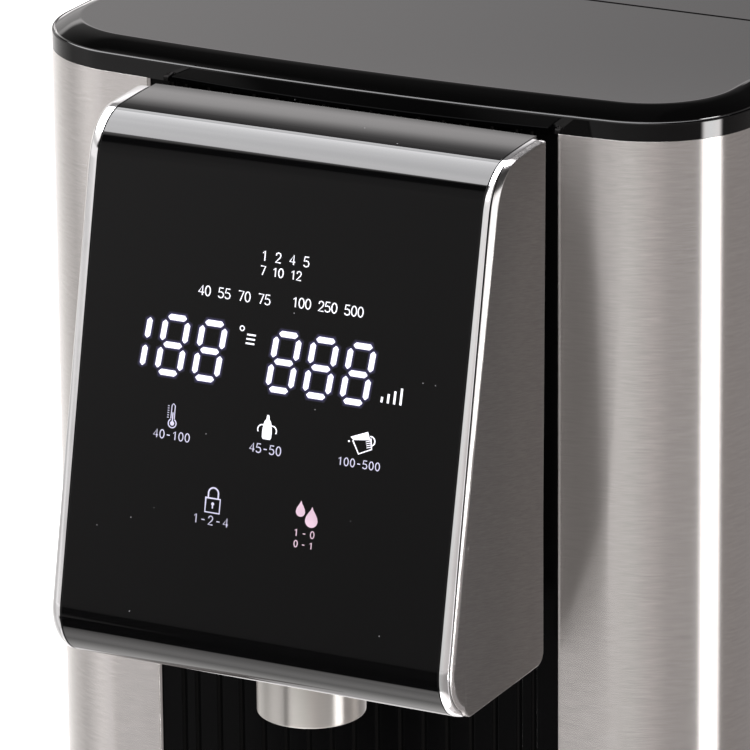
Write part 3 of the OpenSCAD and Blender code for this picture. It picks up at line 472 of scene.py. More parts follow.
groove_shape = [(-0.5, 0), (-0.44, 0.06), (-0.36, 0.35), (-0.25, 0.92), (-0.18, 1), (0.18, 1),
                (0.25, 0.92), (0.36, 0.35), (0.44, 0.06), (0.5, 0)]
grooves = [-BORDER] + [i * RIB_PITCH for i in range(-RIB_COUNT, RIB_COUNT + 1)] + [BORDER]
fluted_front = [(-PANEL_HALF, bow_depth(PANEL_HALF, PANEL_SET))]
for x in grooves:
    fluted_front += [(x + u * GROOVE_W, bow_depth(x, PANEL_SET) + d * GROOVE_D) for u, d in groove_shape]
fluted_front.append((PANEL_HALF, bow_depth(PANEL_HALF, PANEL_SET)))
fluted_back = [(x, bow_depth(x, PANEL_SET + PANEL_T)) for x in (PANEL_HALF, 25, 0, -25, -PANEL_HALF)]
fluted_plan = fluted_front + fluted_back
fluted_rows = [[(x, FRONT_Y + y, z) for x, y in fluted_plan] for z in (DECK, STEEL_TOP)]
make_piece("fluted_panel", loft(fluted_rows), fluted_black, stands_for=["ribbed_panel"])

# %% [markdown]
# The gloss top starts with a rim that stands on the steel. Its upper edge has a small rounding, which
# shows as one light line all round. It is one section swept along the column's outline, with a ledge
# inside that the cover sits on and a cross bar at the seam, where the water tank begins.

# %% Rim under the cover
RIM_H = 4.2
RIM_EDGE = 0.5
RIM_LEDGE = 0.8
COVER_SEAT = 2
RIM_FLANGE = 9
rim_top = STEEL_TOP + RIM_H
rim_section = [(0, STEEL_TOP)]
rim_section += edge_arc(-RIM_EDGE, rim_top - RIM_EDGE, RIM_EDGE, 0, 90, 8)
rim_section += [(-RIM_LEDGE, rim_top - COVER_SEAT), (-RIM_FLANGE, rim_top - COVER_SEAT),
                (-RIM_FLANGE, STEEL_TOP)]


def block(lo, hi):
    rows = [[(lo[0], lo[1], z), (hi[0], lo[1], z), (hi[0], hi[1], z), (lo[0], hi[1], z)]
            for z in (lo[2], hi[2])]
    return loft(rows)


bar_half = BODY_HALF - RIM_FLANGE
rim_bar = block((-bar_half, FRONT_Y + SEAM - RIM_FLANGE, STEEL_TOP),
                (bar_half, FRONT_Y + SEAM, rim_top - COVER_SEAT))
make_piece("gloss_rim", joined(sweep(front_outline(SEAM), rim_section), rim_bar), rim_black,
           stands_for=["top_rim"])

# %% [markdown]
# The cover in the rim is flat, with a border that slopes down all round. A bevel modifier on a block
# would be held back by the short edges round the corners. So the cover is lofted from outlines that step
# inwards as they rise, which keeps the slope's angle the same all round. The slope swells a little, as a
# moulding does, and ends in a small rounding at the crease, so that the light changes softly there.

# %% Front cover with its sloping border
CROWN_H = 2.4
CROWN_W = 5.5
CROWN_SWELL = 0.12
SET_GAP = 0.1
SLOPE_ROWS = 10
CREASE = 0.7
CREASE_DROP = 0.08
CREASE_START = 0.3
CREASE_ROWS = 7
SEAM_EASE = 0.3


def slope_rows(gap):
    """Rows of (inset, height) up the sloping border, ending in a small rounding at the crease."""
    rows = []
    for i in range(SLOPE_ROWS):
        t = i / SLOPE_ROWS
        lift = t + CROWN_SWELL * math.sin(math.pi * t)
        rows.append((RIM_LEDGE + gap + CROWN_W * t, rim_top + CROWN_H * lift))
    top = rim_top + CROWN_H
    crease = RIM_LEDGE + gap + CROWN_W
    for i in range(1, CREASE_ROWS + 1):
        t = i / CREASE_ROWS
        rows.append((crease - CREASE_START + CREASE * t, top - CREASE_DROP * (1 - t) ** 2))
    return rows


def capped_outline(outline, inset, z, seam_end):
    """One outline moved inwards at a height, its two ends held at the seam."""
    row = [(x - nx * inset, FRONT_Y + y - ny * inset, z) for x, y, nx, ny in outline]
    row[0] = (row[0][0], FRONT_Y + seam_end, z)
    row[-1] = (row[-1][0], FRONT_Y + seam_end, z)
    return row


def crown_rows(outline, rows, seam, away):
    """Loft rows whose seam edge is eased over the last bit of height."""
    top = rows[-1][1]
    easing = [max(0.0, SEAM_EASE - (top - z)) for _, z in rows]
    return [capped_outline(outline, inset, z, seam + away * ease * ease / SEAM_EASE)
            for (inset, z), ease in zip(rows, easing)]


cover_rows = [(RIM_LEDGE + SET_GAP, rim_top - COVER_SEAT)] + slope_rows(SET_GAP)
cover = make_piece("top_cover", loft(crown_rows(front_outline(SEAM), cover_rows, SEAM, -1)), black_gloss,
                   stands_for=["front_cover"], crisp=50)

# %% [markdown]
# The tank's lid carries the same rim and slope round the back, with a plug that drops into the tank
# and one hinge knuckle. The shell is lofted like the cover, the knuckle is a tube turned on the hinge's
# axis, and the plug is an upright wall that follows the tank's plan.

# %% Shell, knuckle and plug of the lid
LID_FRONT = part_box("tank_lid")[0].y / MM - FRONT_Y
PLUG_GAP = 3.1
PLUG_T = 2
PLUG_DROP = 8.3
LID_EDGE = 0.15
HINGE_Y = BODY_DEPTH
KNUCKLE_R = 3.6
LID_KNUCKLE_HALF = 14
PIN_HOLE_R = 1.27
ROUND_SIDES = 48


def turned(profile, centre, axis="Z", count=ROUND_SIDES):
    """Spins a closed profile of (radius, along) round an axis through centre."""
    rows = []
    for i in range(count):
        a = 2 * math.pi * i / count
        c, s = math.cos(a), math.sin(a)
        if axis == "Z":
            rows.append([(centre[0] + r * c, centre[1] + r * s, centre[2] + h) for r, h in profile])
        else:
            rows.append([(centre[0] + h, centre[1] + r * c, centre[2] + r * s) for r, h in profile])
    return loft(rows, closed=True)


def ring(inner, outer, low, high, ease=0.3):
    """Section of a turned tube with eased ends."""
    return [(inner, low), (outer - ease, low), (outer, low + ease), (outer, high - ease),
            (outer - ease, high), (inner, high)]


def tank_outline(inset, start):
    """The tank's closed plan, moved inwards."""
    curve = [(x - nx * inset, y - ny * inset) for x, y, nx, ny in rear_outline(start)]
    return [(curve[0][0], start + inset)] + curve[1:-1] + [(curve[-1][0], start + inset)]


def wall_ring(inset, thick, low, high):
    """An upright wall that follows the tank's plan."""
    outer = tank_outline(inset, LID_FRONT)
    inner = tank_outline(inset + thick, LID_FRONT)
    rows = [[(ox, FRONT_Y + oy, low), (ox, FRONT_Y + oy, high), (ix, FRONT_Y + iy, high),
             (ix, FRONT_Y + iy, low)] for (ox, oy), (ix, iy) in zip(outer, inner)]
    return loft(rows, closed=True)


lid_rows = [(PLUG_GAP + PLUG_T, STEEL_TOP + 0.01), (LID_EDGE, STEEL_TOP), (0, STEEL_TOP + LID_EDGE)]
lid_rows += [(-x, z) for x, z in edge_arc(-RIM_EDGE, rim_top - RIM_EDGE, RIM_EDGE, 0, 90, 8)]
lid_rows += slope_rows(0)[1:]
lid_shell = loft(crown_rows(rear_outline(LID_FRONT), lid_rows, LID_FRONT, 1))
hinge = (0, FRONT_Y + HINGE_Y, STEEL_TOP)
lid_knuckle = turned(ring(PIN_HOLE_R, KNUCKLE_R, -LID_KNUCKLE_HALF, LID_KNUCKLE_HALF), hinge, "X")
plug = wall_ring(PLUG_GAP, PLUG_T, STEEL_TOP - PLUG_DROP, STEEL_TOP + 0.1)
print("lid shell", len(lid_rows), "rows")

# %% [markdown]
# The tank has two knuckles of its own, so the lid is cleared round them. Here a boolean is the simplest
# way, because the clearance is a plain round cut through a shaped edge. The cutters are removed again as
# soon as the result has been read.

# %% Lid cleared round the tank's knuckles
KNUCKLE_CLEAR = 0.5
TANK_KNUCKLE_END = 24.5
PIN_HALF = 20


def cut_away(name, form, cutters):
    """The form with the cutters taken out of it, as points and faces."""
    solids = []
    for label, solid_form in [(name, form)] + [(name + "_cut", c) for c in cutters]:
        solids.append(bpy.data.objects.new(label, welded_mesh(label, solid_form)))
        scene.collection.objects.link(solids[-1])
    for cutter in solids[1:]:
        boolean = solids[0].modifiers.new("cut", "BOOLEAN")
        boolean.object = cutter
        boolean.operation = "DIFFERENCE"
        boolean.solver = "EXACT"
    bpy.context.view_layer.update()
    result = solids[0].evaluated_get(bpy.context.evaluated_depsgraph_get()).to_mesh()
    points = [tuple(v.co) for v in result.vertices]
    faces = [tuple(p.vertices) for p in result.polygons]
    for solid in solids:
        bpy.data.objects.remove(solid)
    return points, faces


def rod(r, start, end, centre):
    """A round bar across the machine, to cut with."""
    around = [2 * math.pi * i / ROUND_SIDES for i in range(ROUND_SIDES)]
    rows = [[(centre[0] + x, centre[1] + r * math.cos(a), centre[2] + r * math.sin(a)) for a in around]
            for x in (start, end)]
    return loft(rows)


clear_r = KNUCKLE_R + KNUCKLE_CLEAR
clear_end = TANK_KNUCKLE_END + KNUCKLE_CLEAR
lid_shell = cut_away("lid_shell", lid_shell, [rod(clear_r, LID_KNUCKLE_HALF, clear_end, hinge),
                                              rod(clear_r, -clear_end, -LID_KNUCKLE_HALF, hinge),
                                              rod(PIN_HOLE_R, -PIN_HALF, PIN_HALF, hinge)])
lid = make_piece("hinged_lid", joined(lid_shell, lid_knuckle, plug), black_gloss, "tank_lid_body",
                 ["tank_lid"], crisp=50)

# %% [markdown]
# The head leans forward by twelve degrees. Its side outline is a five-cornered figure: the top bends
# gently downwards, and there is a large roll at the top front and the bottom front. One function turns
# such a figure into stations with true arcs, and the glass, the bright trim and the steel cheeks are all
# drawn from it, so they stay parallel wherever the outline turns. The right side also flares out a
# little towards the top.

# %% Side outline of the head
HEAD_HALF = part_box("head_cheek_right")[1].x / MM
GLASS_INSET = 0.25
GLASS_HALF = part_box("display_glass")[1].x / MM - GLASS_INSET
HEAD_TOP = 0.2
HEAD_BOTTOM = -118.9
TOP_REACH = 28.3
BOTTOM_REACH = 53.8
HEAD_BACK = 4
TOP_BEND = 11.5
TOP_BEND_R = 229
TOP_FALL_ANGLE = 3.5
TOP_FALL = (TOP_REACH - TOP_BEND) * math.tan(math.radians(TOP_FALL_ANGLE))
TOP_ROLL = 12
BOTTOM_ROLL = 11.5
lean = math.atan((BOTTOM_REACH - TOP_REACH) / (HEAD_TOP - HEAD_BOTTOM))


def rounded_outline(corners, radii, steps=26, pitch=4):
    """Stations of (y, z, outward y, outward z) round a figure that runs anticlockwise."""
    rounds = []
    for i, (corner, r) in enumerate(zip(corners, radii)):
        here = Vector(corner)
        u = (Vector(corners[i - 1]) - here).normalized()
        v = (Vector(corners[(i + 1) % len(corners)]) - here).normalized()
        half = u.angle(v) / 2
        centre = here + (u + v).normalized() * r / math.sin(half)
        first = here + u * r / math.tan(half) - centre
        last = here + v * r / math.tan(half) - centre
        a = math.degrees(math.atan2(first.y, first.x))
        b = math.degrees(math.atan2(last.y, last.x))
        sweep_angle = (b - a + 180) % 360 - 180
        rounds.append(arc(centre.x, centre.y, r, a, a + sweep_angle, steps))
    stations = []
    for here, after in zip(rounds, rounds[1:] + rounds[:1]):
        y, z, *out = here[-1]
        run = Vector(after[0][:2]) - Vector((y, z))
        count = int(run.length / pitch) + 1
        stations += here + [(y + run.x * i / count, z + run.y * i / count, *out) for i in range(1, count)]
    return stations


TOP_FLARE = 0.65
FLARE_DROP = 85
slope = math.tan(lean)
head_corners = [(-HEAD_BACK, HEAD_TOP), (-TOP_BEND, HEAD_TOP),
                (-TOP_REACH - slope * TOP_FALL, HEAD_TOP - TOP_FALL),
                (-BOTTOM_REACH, HEAD_BOTTOM), (-HEAD_BACK, HEAD_BOTTOM)]
head_outline = rounded_outline(head_corners, [0.4, TOP_BEND_R, TOP_ROLL, BOTTOM_ROLL, 3])


def head_point(x, station, depth):
    """A point at a depth under the head's outline."""
    y, z, ny, nz = station
    flare = TOP_FLARE * max(0.0, 1 + z / FLARE_DROP) if x > 0 else 0
    return (x + flare, FRONT_Y + y - ny * depth, STEEL_TOP + z - nz * depth)


print("head leans", round(math.degrees(lean), 2), "degrees")

# %% [markdown]
# The front is one sheet of black glass that is bent over the top edge and under the bottom edge. It is
# the outline's strip from the back of the top to just behind the lower roll, swept across the width,
# with the long edges eased so that a hairline of light separates it from the trim.

# %% Bent glass front
GLASS_T = 2.2
GLASS_EASE = 0.12
GLASS_TUCK = 1.5
GLASS_BACK = HEAD_BACK + 0.05
UPPER_PART = -60
FACING_DOWN = -0.999
glass_end = GLASS_TUCK + BOTTOM_ROLL * math.tan(math.pi / 4 + lean / 2) - BOTTOM_REACH
under = [s for s in head_outline if s[3] > FACING_DOWN or s[0] < glass_end]
glass_stations = [s for s in under if s[0] < -GLASS_BACK and (s[0] < glass_end or s[1] > UPPER_PART)]
glass_stations.append((glass_end, HEAD_BOTTOM, 0, -1))
glass_edge = [(0, GLASS_T), (0, GLASS_EASE), (0.3 * GLASS_EASE, 0.3 * GLASS_EASE), (GLASS_EASE, 0)]
glass_section = [(inset - GLASS_HALF, d) for inset, d in glass_edge]
glass_section += [(GLASS_HALF - inset, d) for inset, d in reversed(glass_edge)]
glass_rows = [[head_point(x, s, d) for x, d in glass_section] for s in glass_stations]
make_piece("bent_glass", loft(glass_rows), display_glass, stands_for=["display_glass"])

# %% [markdown]
# A brushed steel cheek closes each side of the head. It keeps close to the top edge, stays a little
# behind the glass, and near its foot the front edge sweeps upright. It is a plate with eased edges: the
# outline lofted across the thickness, with the last rows drawn in. The cheeks stand a fraction of a
# millimetre proud of the head, the left one a little more than the right.

# %% Steel cheeks
CHEEK_T = 1.5
CHEEK_EASE = 0.35
CHEEK_TURN = 31
CHEEK_SWEEP = 120
CHEEK_FALL = 0.7
CHEEK_FOOT_R = 3
CHEEK_BACK = 5
CHEEK_X = {1: HEAD_HALF + 0.5, -1: HEAD_HALF + 0.9}
TRIM_D = 3.8
TRIM_TOP = 0.5
trim_set = TRIM_D / math.cos(lean)
turn_y = -BOTTOM_REACH + slope * CHEEK_TURN + trim_set
cheek_top = HEAD_TOP - TRIM_TOP
cheek_front_y = -TOP_REACH + trim_set - slope * (TRIM_TOP + CHEEK_FALL)
cheek_corners = [(-CHEEK_BACK, cheek_top), (cheek_front_y, cheek_top - CHEEK_FALL),
                 (turn_y, HEAD_BOTTOM + CHEEK_TURN), (turn_y, HEAD_BOTTOM), (-CHEEK_BACK, HEAD_BOTTOM)]
cheek_outline = rounded_outline(cheek_corners, [0.5, TOP_ROLL - TRIM_D, CHEEK_SWEEP, CHEEK_FOOT_R, 3])
cheek_steps = [(-CHEEK_T, 0), (-CHEEK_EASE, 0)]
cheek_steps += [(-CHEEK_EASE * (1 - math.sin(a)), CHEEK_EASE * (1 - math.cos(a)))
                for a in [math.radians(d) for d in (22, 45, 68, 90)]]
for side, label in ((1, "right"), (-1, "left")):
    rows = [[head_point(side * (CHEEK_X[side] + x), s, d) for s in cheek_outline] for x, d in cheek_steps]
    make_piece("cheek_" + label, loft(rows), cheek_steel, stands_for=["head_cheek_" + label])

# %% [markdown]
# Polished metal shows only what it mirrors, so its finish is nearly bare: a noise lets the gloss and the
# colour swing a little, like handling marks. The bead beside the glass and the cheek's rolled edge get no
# bump, because it would break up their thin lines of light.

# %% Polished finishes
def polished(name, colour, roughness, wave=0.02, **sockets):
    material, tree, shader = start_finish(name, colour, roughness, Metallic=1.0, **sockets)
    handling = stretched_noise(tree, (90, 90, 90), 4.0)
    vary_gloss(tree, shader, handling, roughness * 0.7, roughness * 1.6)
    vary_colour(tree, shader, handling, colour, 0.93, 1)
    if wave:
        add_bump(tree, shader, handling, wave, 0.02)
    return material


chrome_trim = polished("chrome_trim", (0.82, 0.82, 0.83), 0.1, wave=0)
roll_steel = polished("roll_steel", (0.74, 0.725, 0.72), 0.2, wave=0, slot="cheek_steel")
print("polished finishes", 2)

# %% [markdown]
# The bright trim fills what lies between the head's outline and the cheek. That depth changes from place
# to place, so it is measured at every station: a line straight in from the outline is halved again and
# again until it ends on the cheek's edge. To tell inside from outside, count how often a level line from
# the point crosses the cheek's outline: an odd number means inside.

# %% Where the cheek's edge lies
def inside(point, outline):
    """Whether a point lies inside a closed outline."""
    y, z = point
    hits = 0
    for a, b in zip(outline, outline[1:] + outline[:1]):
        if (a[1] > z) != (b[1] > z) and y < a[0] + (z - a[1]) * (b[0] - a[0]) / (b[1] - a[1]):
            hits += 1
    return hits % 2 == 1


@lru_cache(maxsize=None)
def cheek_depth(station):
    """How far straight in from the outline the cheek's edge lies."""
    y, z, ny, nz = station
    low, high = 0.0, 20.0
    for _ in range(30):
        middle = (low + high) / 2
        if inside((y - ny * middle, z - nz * middle), cheek_outline):
            high = middle
        else:
            low = middle
    return high


TRIM_BACK = HEAD_BACK + 2.5
TRIM_LEAST = 0.25
TRIM_MOST = 19
TRIM_PAST = 0.5
trim_stations = [s for s in head_outline if s[0] < turn_y + TRIM_PAST or s[1] > UPPER_PART]
trim_stations = [s for s in trim_stations
                 if s[0] < -TRIM_BACK and TRIM_LEAST < cheek_depth(s) < TRIM_MOST]
print("trim", len(trim_stations), "stations")

# %% [markdown]
# A chrome bead runs beside the glass, and the cheek's own edge is rolled towards it, with a narrow slit
# between the two. What polished metal mirrors depends on how its face is turned, so both cross-sections
# are drawn as a walk whose heading swings from one angle to another: a slow swing makes a broad even
# face, a quick one a tight shoulder. Down the front the bead grows wider, the slit closes and the roll
# softens. The roll ends in a flat, and the flat takes the cheek's brushed finish.

# %% Chrome bead and rolled cheek edge
TRIM_STEPS = 10
FACE_DROP = (15, 100)
BEAD_X = GLASS_HALF + 0.3
BEAD_FACE = {1: 0.95, -1: 1.75}
BEAD_GROWTH = 0.75
BEAD_START = 3
BEAD_TURN = (20, 45)
SHOULDER = 0.35
SHOULDER_END = 86
SLIT = 0.28
SLIT_CLOSES = 0.7
ROLL_SET = 0.3
ROLL_TUCK = 0.6
ROLL_FACE = (50, 61)
ROLL_BEND = (0.1, 0.7)
ROLL_PROUD = 0.02
ROLL_LAP = 0.15
LEAST = 0.05
SIDEWAYS = 0.98


def ramp(value, low, high):
    return min(1.0, max(0.0, (value - low) / (high - low)))


def turning(x, d, stretches, share):
    """Points of a curve that turns from one angle to another along each stretch."""
    points = []
    for first, last, length in stretches:
        for i in range(TRIM_STEPS):
            a = math.radians(first + (last - first) * (i + 0.5) / TRIM_STEPS)
            x += length / TRIM_STEPS * math.cos(a)
            d += length / TRIM_STEPS * math.sin(a) * share
            points.append((x, d))
    return points


def between(pair, share):
    return pair[0] + (pair[1] - pair[0]) * share


def bead_curve(side, station):
    """The bead's surface: a broad face that grows down the front, then a tight shoulder."""
    down_face = ramp(-station[1], *FACE_DROP)
    share = ramp(cheek_depth(station), 0, TRIM_D)
    turned_to = between(BEAD_TURN, down_face)
    face = (BEAD_FACE[side] + BEAD_GROWTH * down_face) / math.cos(math.radians(turned_to / 2))
    stretches = [(BEAD_START, turned_to, face), (turned_to, SHOULDER_END, SHOULDER)]
    return [(BEAD_X, 0.0)] + turning(BEAD_X, 0.0, stretches, share)


def trim_row(side, station):
    """A chrome bead from the glass to the slit beside the cheek."""
    curve = bead_curve(side, station)
    x, d = curve[-1]
    reach = max(cheek_depth(station) - LEAST, d + LEAST)
    return [head_point(side * x, station, d) for x, d in curve + [(x, reach), (BEAD_X, reach)]]


def cheek_roll_row(side, station):
    """The cheek's own front edge: a sloping face beside the slit that rolls into the flat."""
    down_face = ramp(-station[1], *FACE_DROP)
    share = ramp(cheek_depth(station), 0, TRIM_D)
    x, d = bead_curve(side, station)[-1]
    x += SLIT * share * (1 - SLIT_CLOSES * down_face)
    d += ROLL_SET * share
    edge = CHEEK_X[side] + ROLL_PROUD
    room = edge - x
    bent = between(ROLL_BEND, down_face ** 2)
    face = (1 - bent) * room / math.cos(math.radians(sum(ROLL_FACE) / 2))
    bend_r = bent * room / (1 - math.sin(math.radians(ROLL_FACE[1])))
    bend = bend_r * math.radians(90 - ROLL_FACE[1])
    section = [(x, d + ROLL_TUCK * share), (x, d)]
    section += turning(x, d, [(*ROLL_FACE, face), (ROLL_FACE[1], 90, bend)], share)
    end = max(cheek_depth(station) + ROLL_LAP, section[-1][1] + LEAST)
    section += [(edge, end), (x, end)]
    return [head_point(side * min(x, edge), station, d) for x, d in section]


for side, label in ((1, "right"), (-1, "left")):
    make_piece("trim_" + label, loft([trim_row(side, s) for s in trim_stations]), chrome_trim,
               stands_for=["head_trim_" + label], crisp=45)
    roll = make_piece("cheek_roll_" + label, loft([cheek_roll_row(side, s) for s in trim_stations]),
                      roll_steel, crisp=45)
    roll.data.materials.append(cheek_steel)
    for face in roll.data.polygons:
        face.material_index = int(abs(face.normal.x) > SIDEWAYS)

# %% [markdown]
# The panel shows lit numerals and small pictograms behind the glass. They are thin plates a few
# hundredths of a millimetre proud of the glass, which glow: white with a touch of violet, as such
# panels do, and pink for the drops. A helper lays a flat shape on the leaning face, where u runs
# across and v runs down from the head's top.

# %% Lit finishes and the face
def lit(name, colour, strength):
    material, tree, shader = start_finish(name, (0.004, 0.004, 0.005), 0.2, slot="lit_segments")
    uneven = stretched_noise(tree, (160, 160, 160), 2.0)
    shader.inputs["Emission Color"].default_value = (*colour, 1)
    tree.links.new(between_values(tree, uneven, strength * 0.85, strength * 1.1),
                   shader.inputs["Emission Strength"])
    return material


lit_white = lit("lit_white", (0.93, 0.92, 1.0), 1.6)
lit_lilac = lit("lit_lilac", (0.80, 0.77, 1.0), 1.0)
lit_pink = lit("lit_pink", (1.0, 0.72, 0.88), 0.9)
# The next three finishes are painted glow round the numerals, in ever fainter layers: plates that glow, not
# lit parts of the panel.
lit_glow = lit("lit_glow", (0.34, 0.29, 1.0), 0.17)
lit_haze = lit("lit_haze", (0.34, 0.29, 1.0), 0.06)
lit_mist = lit("lit_mist", (0.36, 0.32, 1.0), 0.022)
LIFT = 0.03
down = Vector((0, -math.sin(lean), -math.cos(lean)))
outward = Vector((0, -math.cos(lean), math.sin(lean)))
face_top = Vector((0, FRONT_Y - TOP_REACH, STEEL_TOP + HEAD_TOP))


def on_face(u, v, lift):
    return tuple(face_top + Vector((u, 0, 0)) + down * v + outward * lift)


def plate(shape, lift=LIFT, thick=0.02):
    """A thin plate with the given outline of (u, v) on the face."""
    rows = [[on_face(u, v, h) for u, v in shape] for h in (lift - thick, lift)]
    return loft(rows)


def stroke(path, width, lift=LIFT):
    """A line of even width along an open path of (u, v), with square ends."""
    left, right = [], []
    for i, p in enumerate(path):
        a = Vector(path[max(i - 1, 0)])
        b = Vector(path[min(i + 1, len(path) - 1)])
        side = Vector((-(b - a).y, (b - a).x)).normalized() * width / 2
        left.append((p[0] + side.x, p[1] + side.y))
        right.append((p[0] - side.x, p[1] - side.y))
    parts = [plate([left[i], left[i + 1], right[i + 1], right[i]], lift) for i in range(len(path) - 1)]
    return joined(*parts)


def loop(u, v, r, start=0, end=360, count=28):
    return [(x, y) for x, y, _, _ in arc(u, v, r, start, end, count)]


def marks(name, finish, *forms):
    return make_piece(name, joined(*forms), finish)


print("face normal", [round(c, 3) for c in outward])

# %% [markdown]
# A seven-segment numeral is seven bars with pointed ends, leaning a little to the right. All bars are
# lit here, as on a panel that is testing itself. The glow round them is painted light: the same bars
# drawn wider and much dimmer, just under the bright ones, in three steps that fade outwards.

# %% Lit numerals
DIGIT_MID = 47.8
DIGIT_ROW = 6.05
DIGIT_HALF = 2.7
BAR_LONG = 4.4
BAR = 1.3
BAR_BEVEL = 0.42
BAR_TIP = 0.12
DIGIT_SLANT = 0.106
PAIR = (-23.85, -14.85)
TRIPLE = (3.05, 11.95, 20.85)
SINGLE = -33.0
BARS = {"top": (0, -1), "middle": (0, 0), "bottom": (0, 1), "left_high": (-1, -0.5),
        "left_low": (-1, 0.5), "right_high": (1, -0.5), "right_low": (1, 0.5)}


def bar_shape(u, v, upright, grow):
    """A bar with bevelled tips, upright or level, round its middle."""
    half = BAR_LONG / 2 + grow
    wide = BAR / 2 + grow
    tip = half - BAR * BAR_BEVEL
    shape = [(-half, -BAR_TIP), (-tip, -wide), (tip, -wide), (half, -BAR_TIP), (half, BAR_TIP),
             (tip, wide), (-tip, wide), (-half, BAR_TIP)]
    turned_shape = [(b, a) for a, b in shape] if upright else shape
    return [(u + a - DIGIT_SLANT * (v + b - DIGIT_MID), v + b) for a, b in turned_shape]


def digit(u, bars, grow, lift):
    """Some of a numeral's bars; those at its sides stand upright."""
    places = [BARS[bar] for bar in bars]
    return [plate(bar_shape(u + DIGIT_HALF * a, DIGIT_MID + DIGIT_ROW * b, a != 0, grow), lift)
            for a, b in places]


# The lit numerals first, then three layers of painted glow round them.
layers = (("numerals", lit_white, 0, LIFT), ("numeral_glow", lit_glow, 0.14, 0.022),
          ("numeral_haze", lit_haze, 0.3, 0.014), ("numeral_mist", lit_mist, 0.55, 0.007))
for name, finish, grow, lift in layers:
    bars = [b for u in PAIR + TRIPLE for b in digit(u, BARS, grow, lift)]
    bars += digit(SINGLE, ("right_high", "right_low"), grow, lift)
    marks(name, finish, *bars)

# %% [markdown]
# The small marks round the numerals are drawn from strokes and plates: a ring for degrees, rising bars
# for a level, and rows of plain numbers for presets. Blender's text objects would bring a typeface with
# them, so each number is a short path for a pen instead, in a box one wide and 1.7 tall.

# %% Small marks and rows of plain numbers
ROUND_STEPS = [i * math.pi / 9 for i in range(19)]
PEN = {
    "0": [(0.5 + 0.48 * math.sin(t), 0.85 - 0.85 * math.cos(t)) for t in ROUND_STEPS],
    "1": [(0.2, 0.4), (0.62, 0), (0.62, 1.7)],
    "2": [(0.04, 0.5), (0.15, 0.15), (0.5, 0), (0.85, 0.15), (0.95, 0.5), (0.8, 0.85), (0, 1.7), (1, 1.7)],
    "4": [(0.76, 1.7), (0.76, 0), (0, 1.2), (1.05, 1.2)],
    "5": [(0.92, 0), (0.16, 0), (0.06, 0.8), (0.42, 0.66), (0.8, 0.76), (1, 1.15), (0.86, 1.55),
          (0.5, 1.7), (0.15, 1.62), (0, 1.4)],
    "7": [(0, 0), (1, 0), (0.4, 1.7)],
    "-": [(0.15, 0.9), (0.85, 0.9)],
}
PEN_TALL = 1.7


def plain_numbers(text, u0, u1, v, tall, pen=0.26):
    """Plain thin numbers spread between two places, on a line whose middle is at v."""
    pitch = (u1 - u0) / (len(text) - 0.35)
    scale = tall / PEN_TALL
    forms = []
    for i, sign in enumerate(text):
        if sign != " ":
            path = [(u0 + i * pitch + a * scale, v + (b - PEN_TALL / 2) * scale) for a, b in PEN[sign]]
            forms.append(stroke(path, pen))
    return forms


def number_rows(rows):
    return [form for row in rows for form in plain_numbers(*row)]


degree_ring = [stroke(loop(-7.5, 41.85, 0.5), 0.25)]
scale_bars = [stroke([(-6.2 - 0.1 * i, 43 + 0.95 * i), (-4.1 - 0.1 * i, 43 + 0.95 * i)], 0.36)
              for i in range(3)]
level_bars = [stroke([(26.9 + 1.5 * i, 53), (27.0 + 1.5 * i, 51.8 - 0.8 * i)], 0.5) for i in range(4)]
presets = number_rows([("1 2 4 5", -4.3, 6.9, 25.7, 2.1), ("7 10 12", -4.3, 5.3, 28.9, 1.9),
                       ("40 55 70 75", -18.7, -1.6, 35.0, 2.1), ("100 250 500", 3.9, 20.6, 34.6, 2.1)])
marks("small_marks", lit_white, *degree_ring, *scale_bars, *level_bars, *presets)
labels = number_rows([("40-100", -26.7, -18.0, 67.2, 1.8, 0.22), ("45-50", -3.3, 4.1, 66.9, 1.9, 0.24),
                      ("100-500", 17.9, 27.8, 66.8, 1.7, 0.22), ("1-2-4", -15.4, -6.9, 84.1, 1.9, 0.22)])
pink_labels = number_rows([("1-0", 9.0, 14.2, 83.6, 1.5, 0.22), ("0-1", 9.2, 14.0, 86.0, 1.4, 0.22)])

# %% [markdown]
# The pictograms are a thermometer, a padlock, a bottle, a jug and two drops, in the plain style of any
# appliance. Thin outlines are strokes, solid shapes are plates, and what is round comes from one loop
# helper, so each pictogram is a few lines that read like a drawing.

# %% Pictograms
therm = -22.4
thermometer = [stroke([(therm - 0.42, 63.6), (therm - 0.36, 60.7), (therm, 60.3), (therm + 0.42, 60.7),
                       (therm + 0.42, 63.6)], 0.2),
               stroke(loop(therm, 64.6, 0.95, -62, 242), 0.24),
               plate(loop(therm, 64.6, 0.5)), stroke([(therm, 64.6), (therm, 62.2)], 0.26)]
thermometer += [stroke([(therm - 1.35, 60.9 + 0.5 * i), (therm - 0.95, 60.9 + 0.5 * i)], 0.16)
                for i in range(6)]
lock = -11.0
shackle = [(lock - 1.2, 79.3)] + loop(lock, 78.2, 1.2, 180, 360, 20) + [(lock + 1.2, 79.3)]
padlock = [stroke([(lock - 1.75, 79.3), (lock + 1.75, 79.3), (lock + 1.75, 82.4), (lock - 1.75, 82.4),
                   (lock - 1.75, 79.12)], 0.34),
           stroke(shackle, 0.34), plate(loop(lock, 80.5, 0.36)), stroke([(lock, 80.5), (lock, 81.5)], 0.3)]
flask = 0.5
half_bottle = [(0.22, 59.5), (0.34, 60.0), (0.36, 60.4), (0.75, 60.9), (0.95, 61.5), (0.95, 62.0),
               (1.08, 62.3), (1.15, 63.2), (1.12, 64.4), (0.85, 64.8)]
bottle = [plate([(flask - a, b) for a, b in half_bottle]
                + [(flask + a, b) for a, b in reversed(half_bottle)])]
bottle += [stroke(loop(flask + s * 1.2, 62.8, 1.05, 90 - s * 60, 90 - s * 240), 0.26) for s in (-1, 1)]
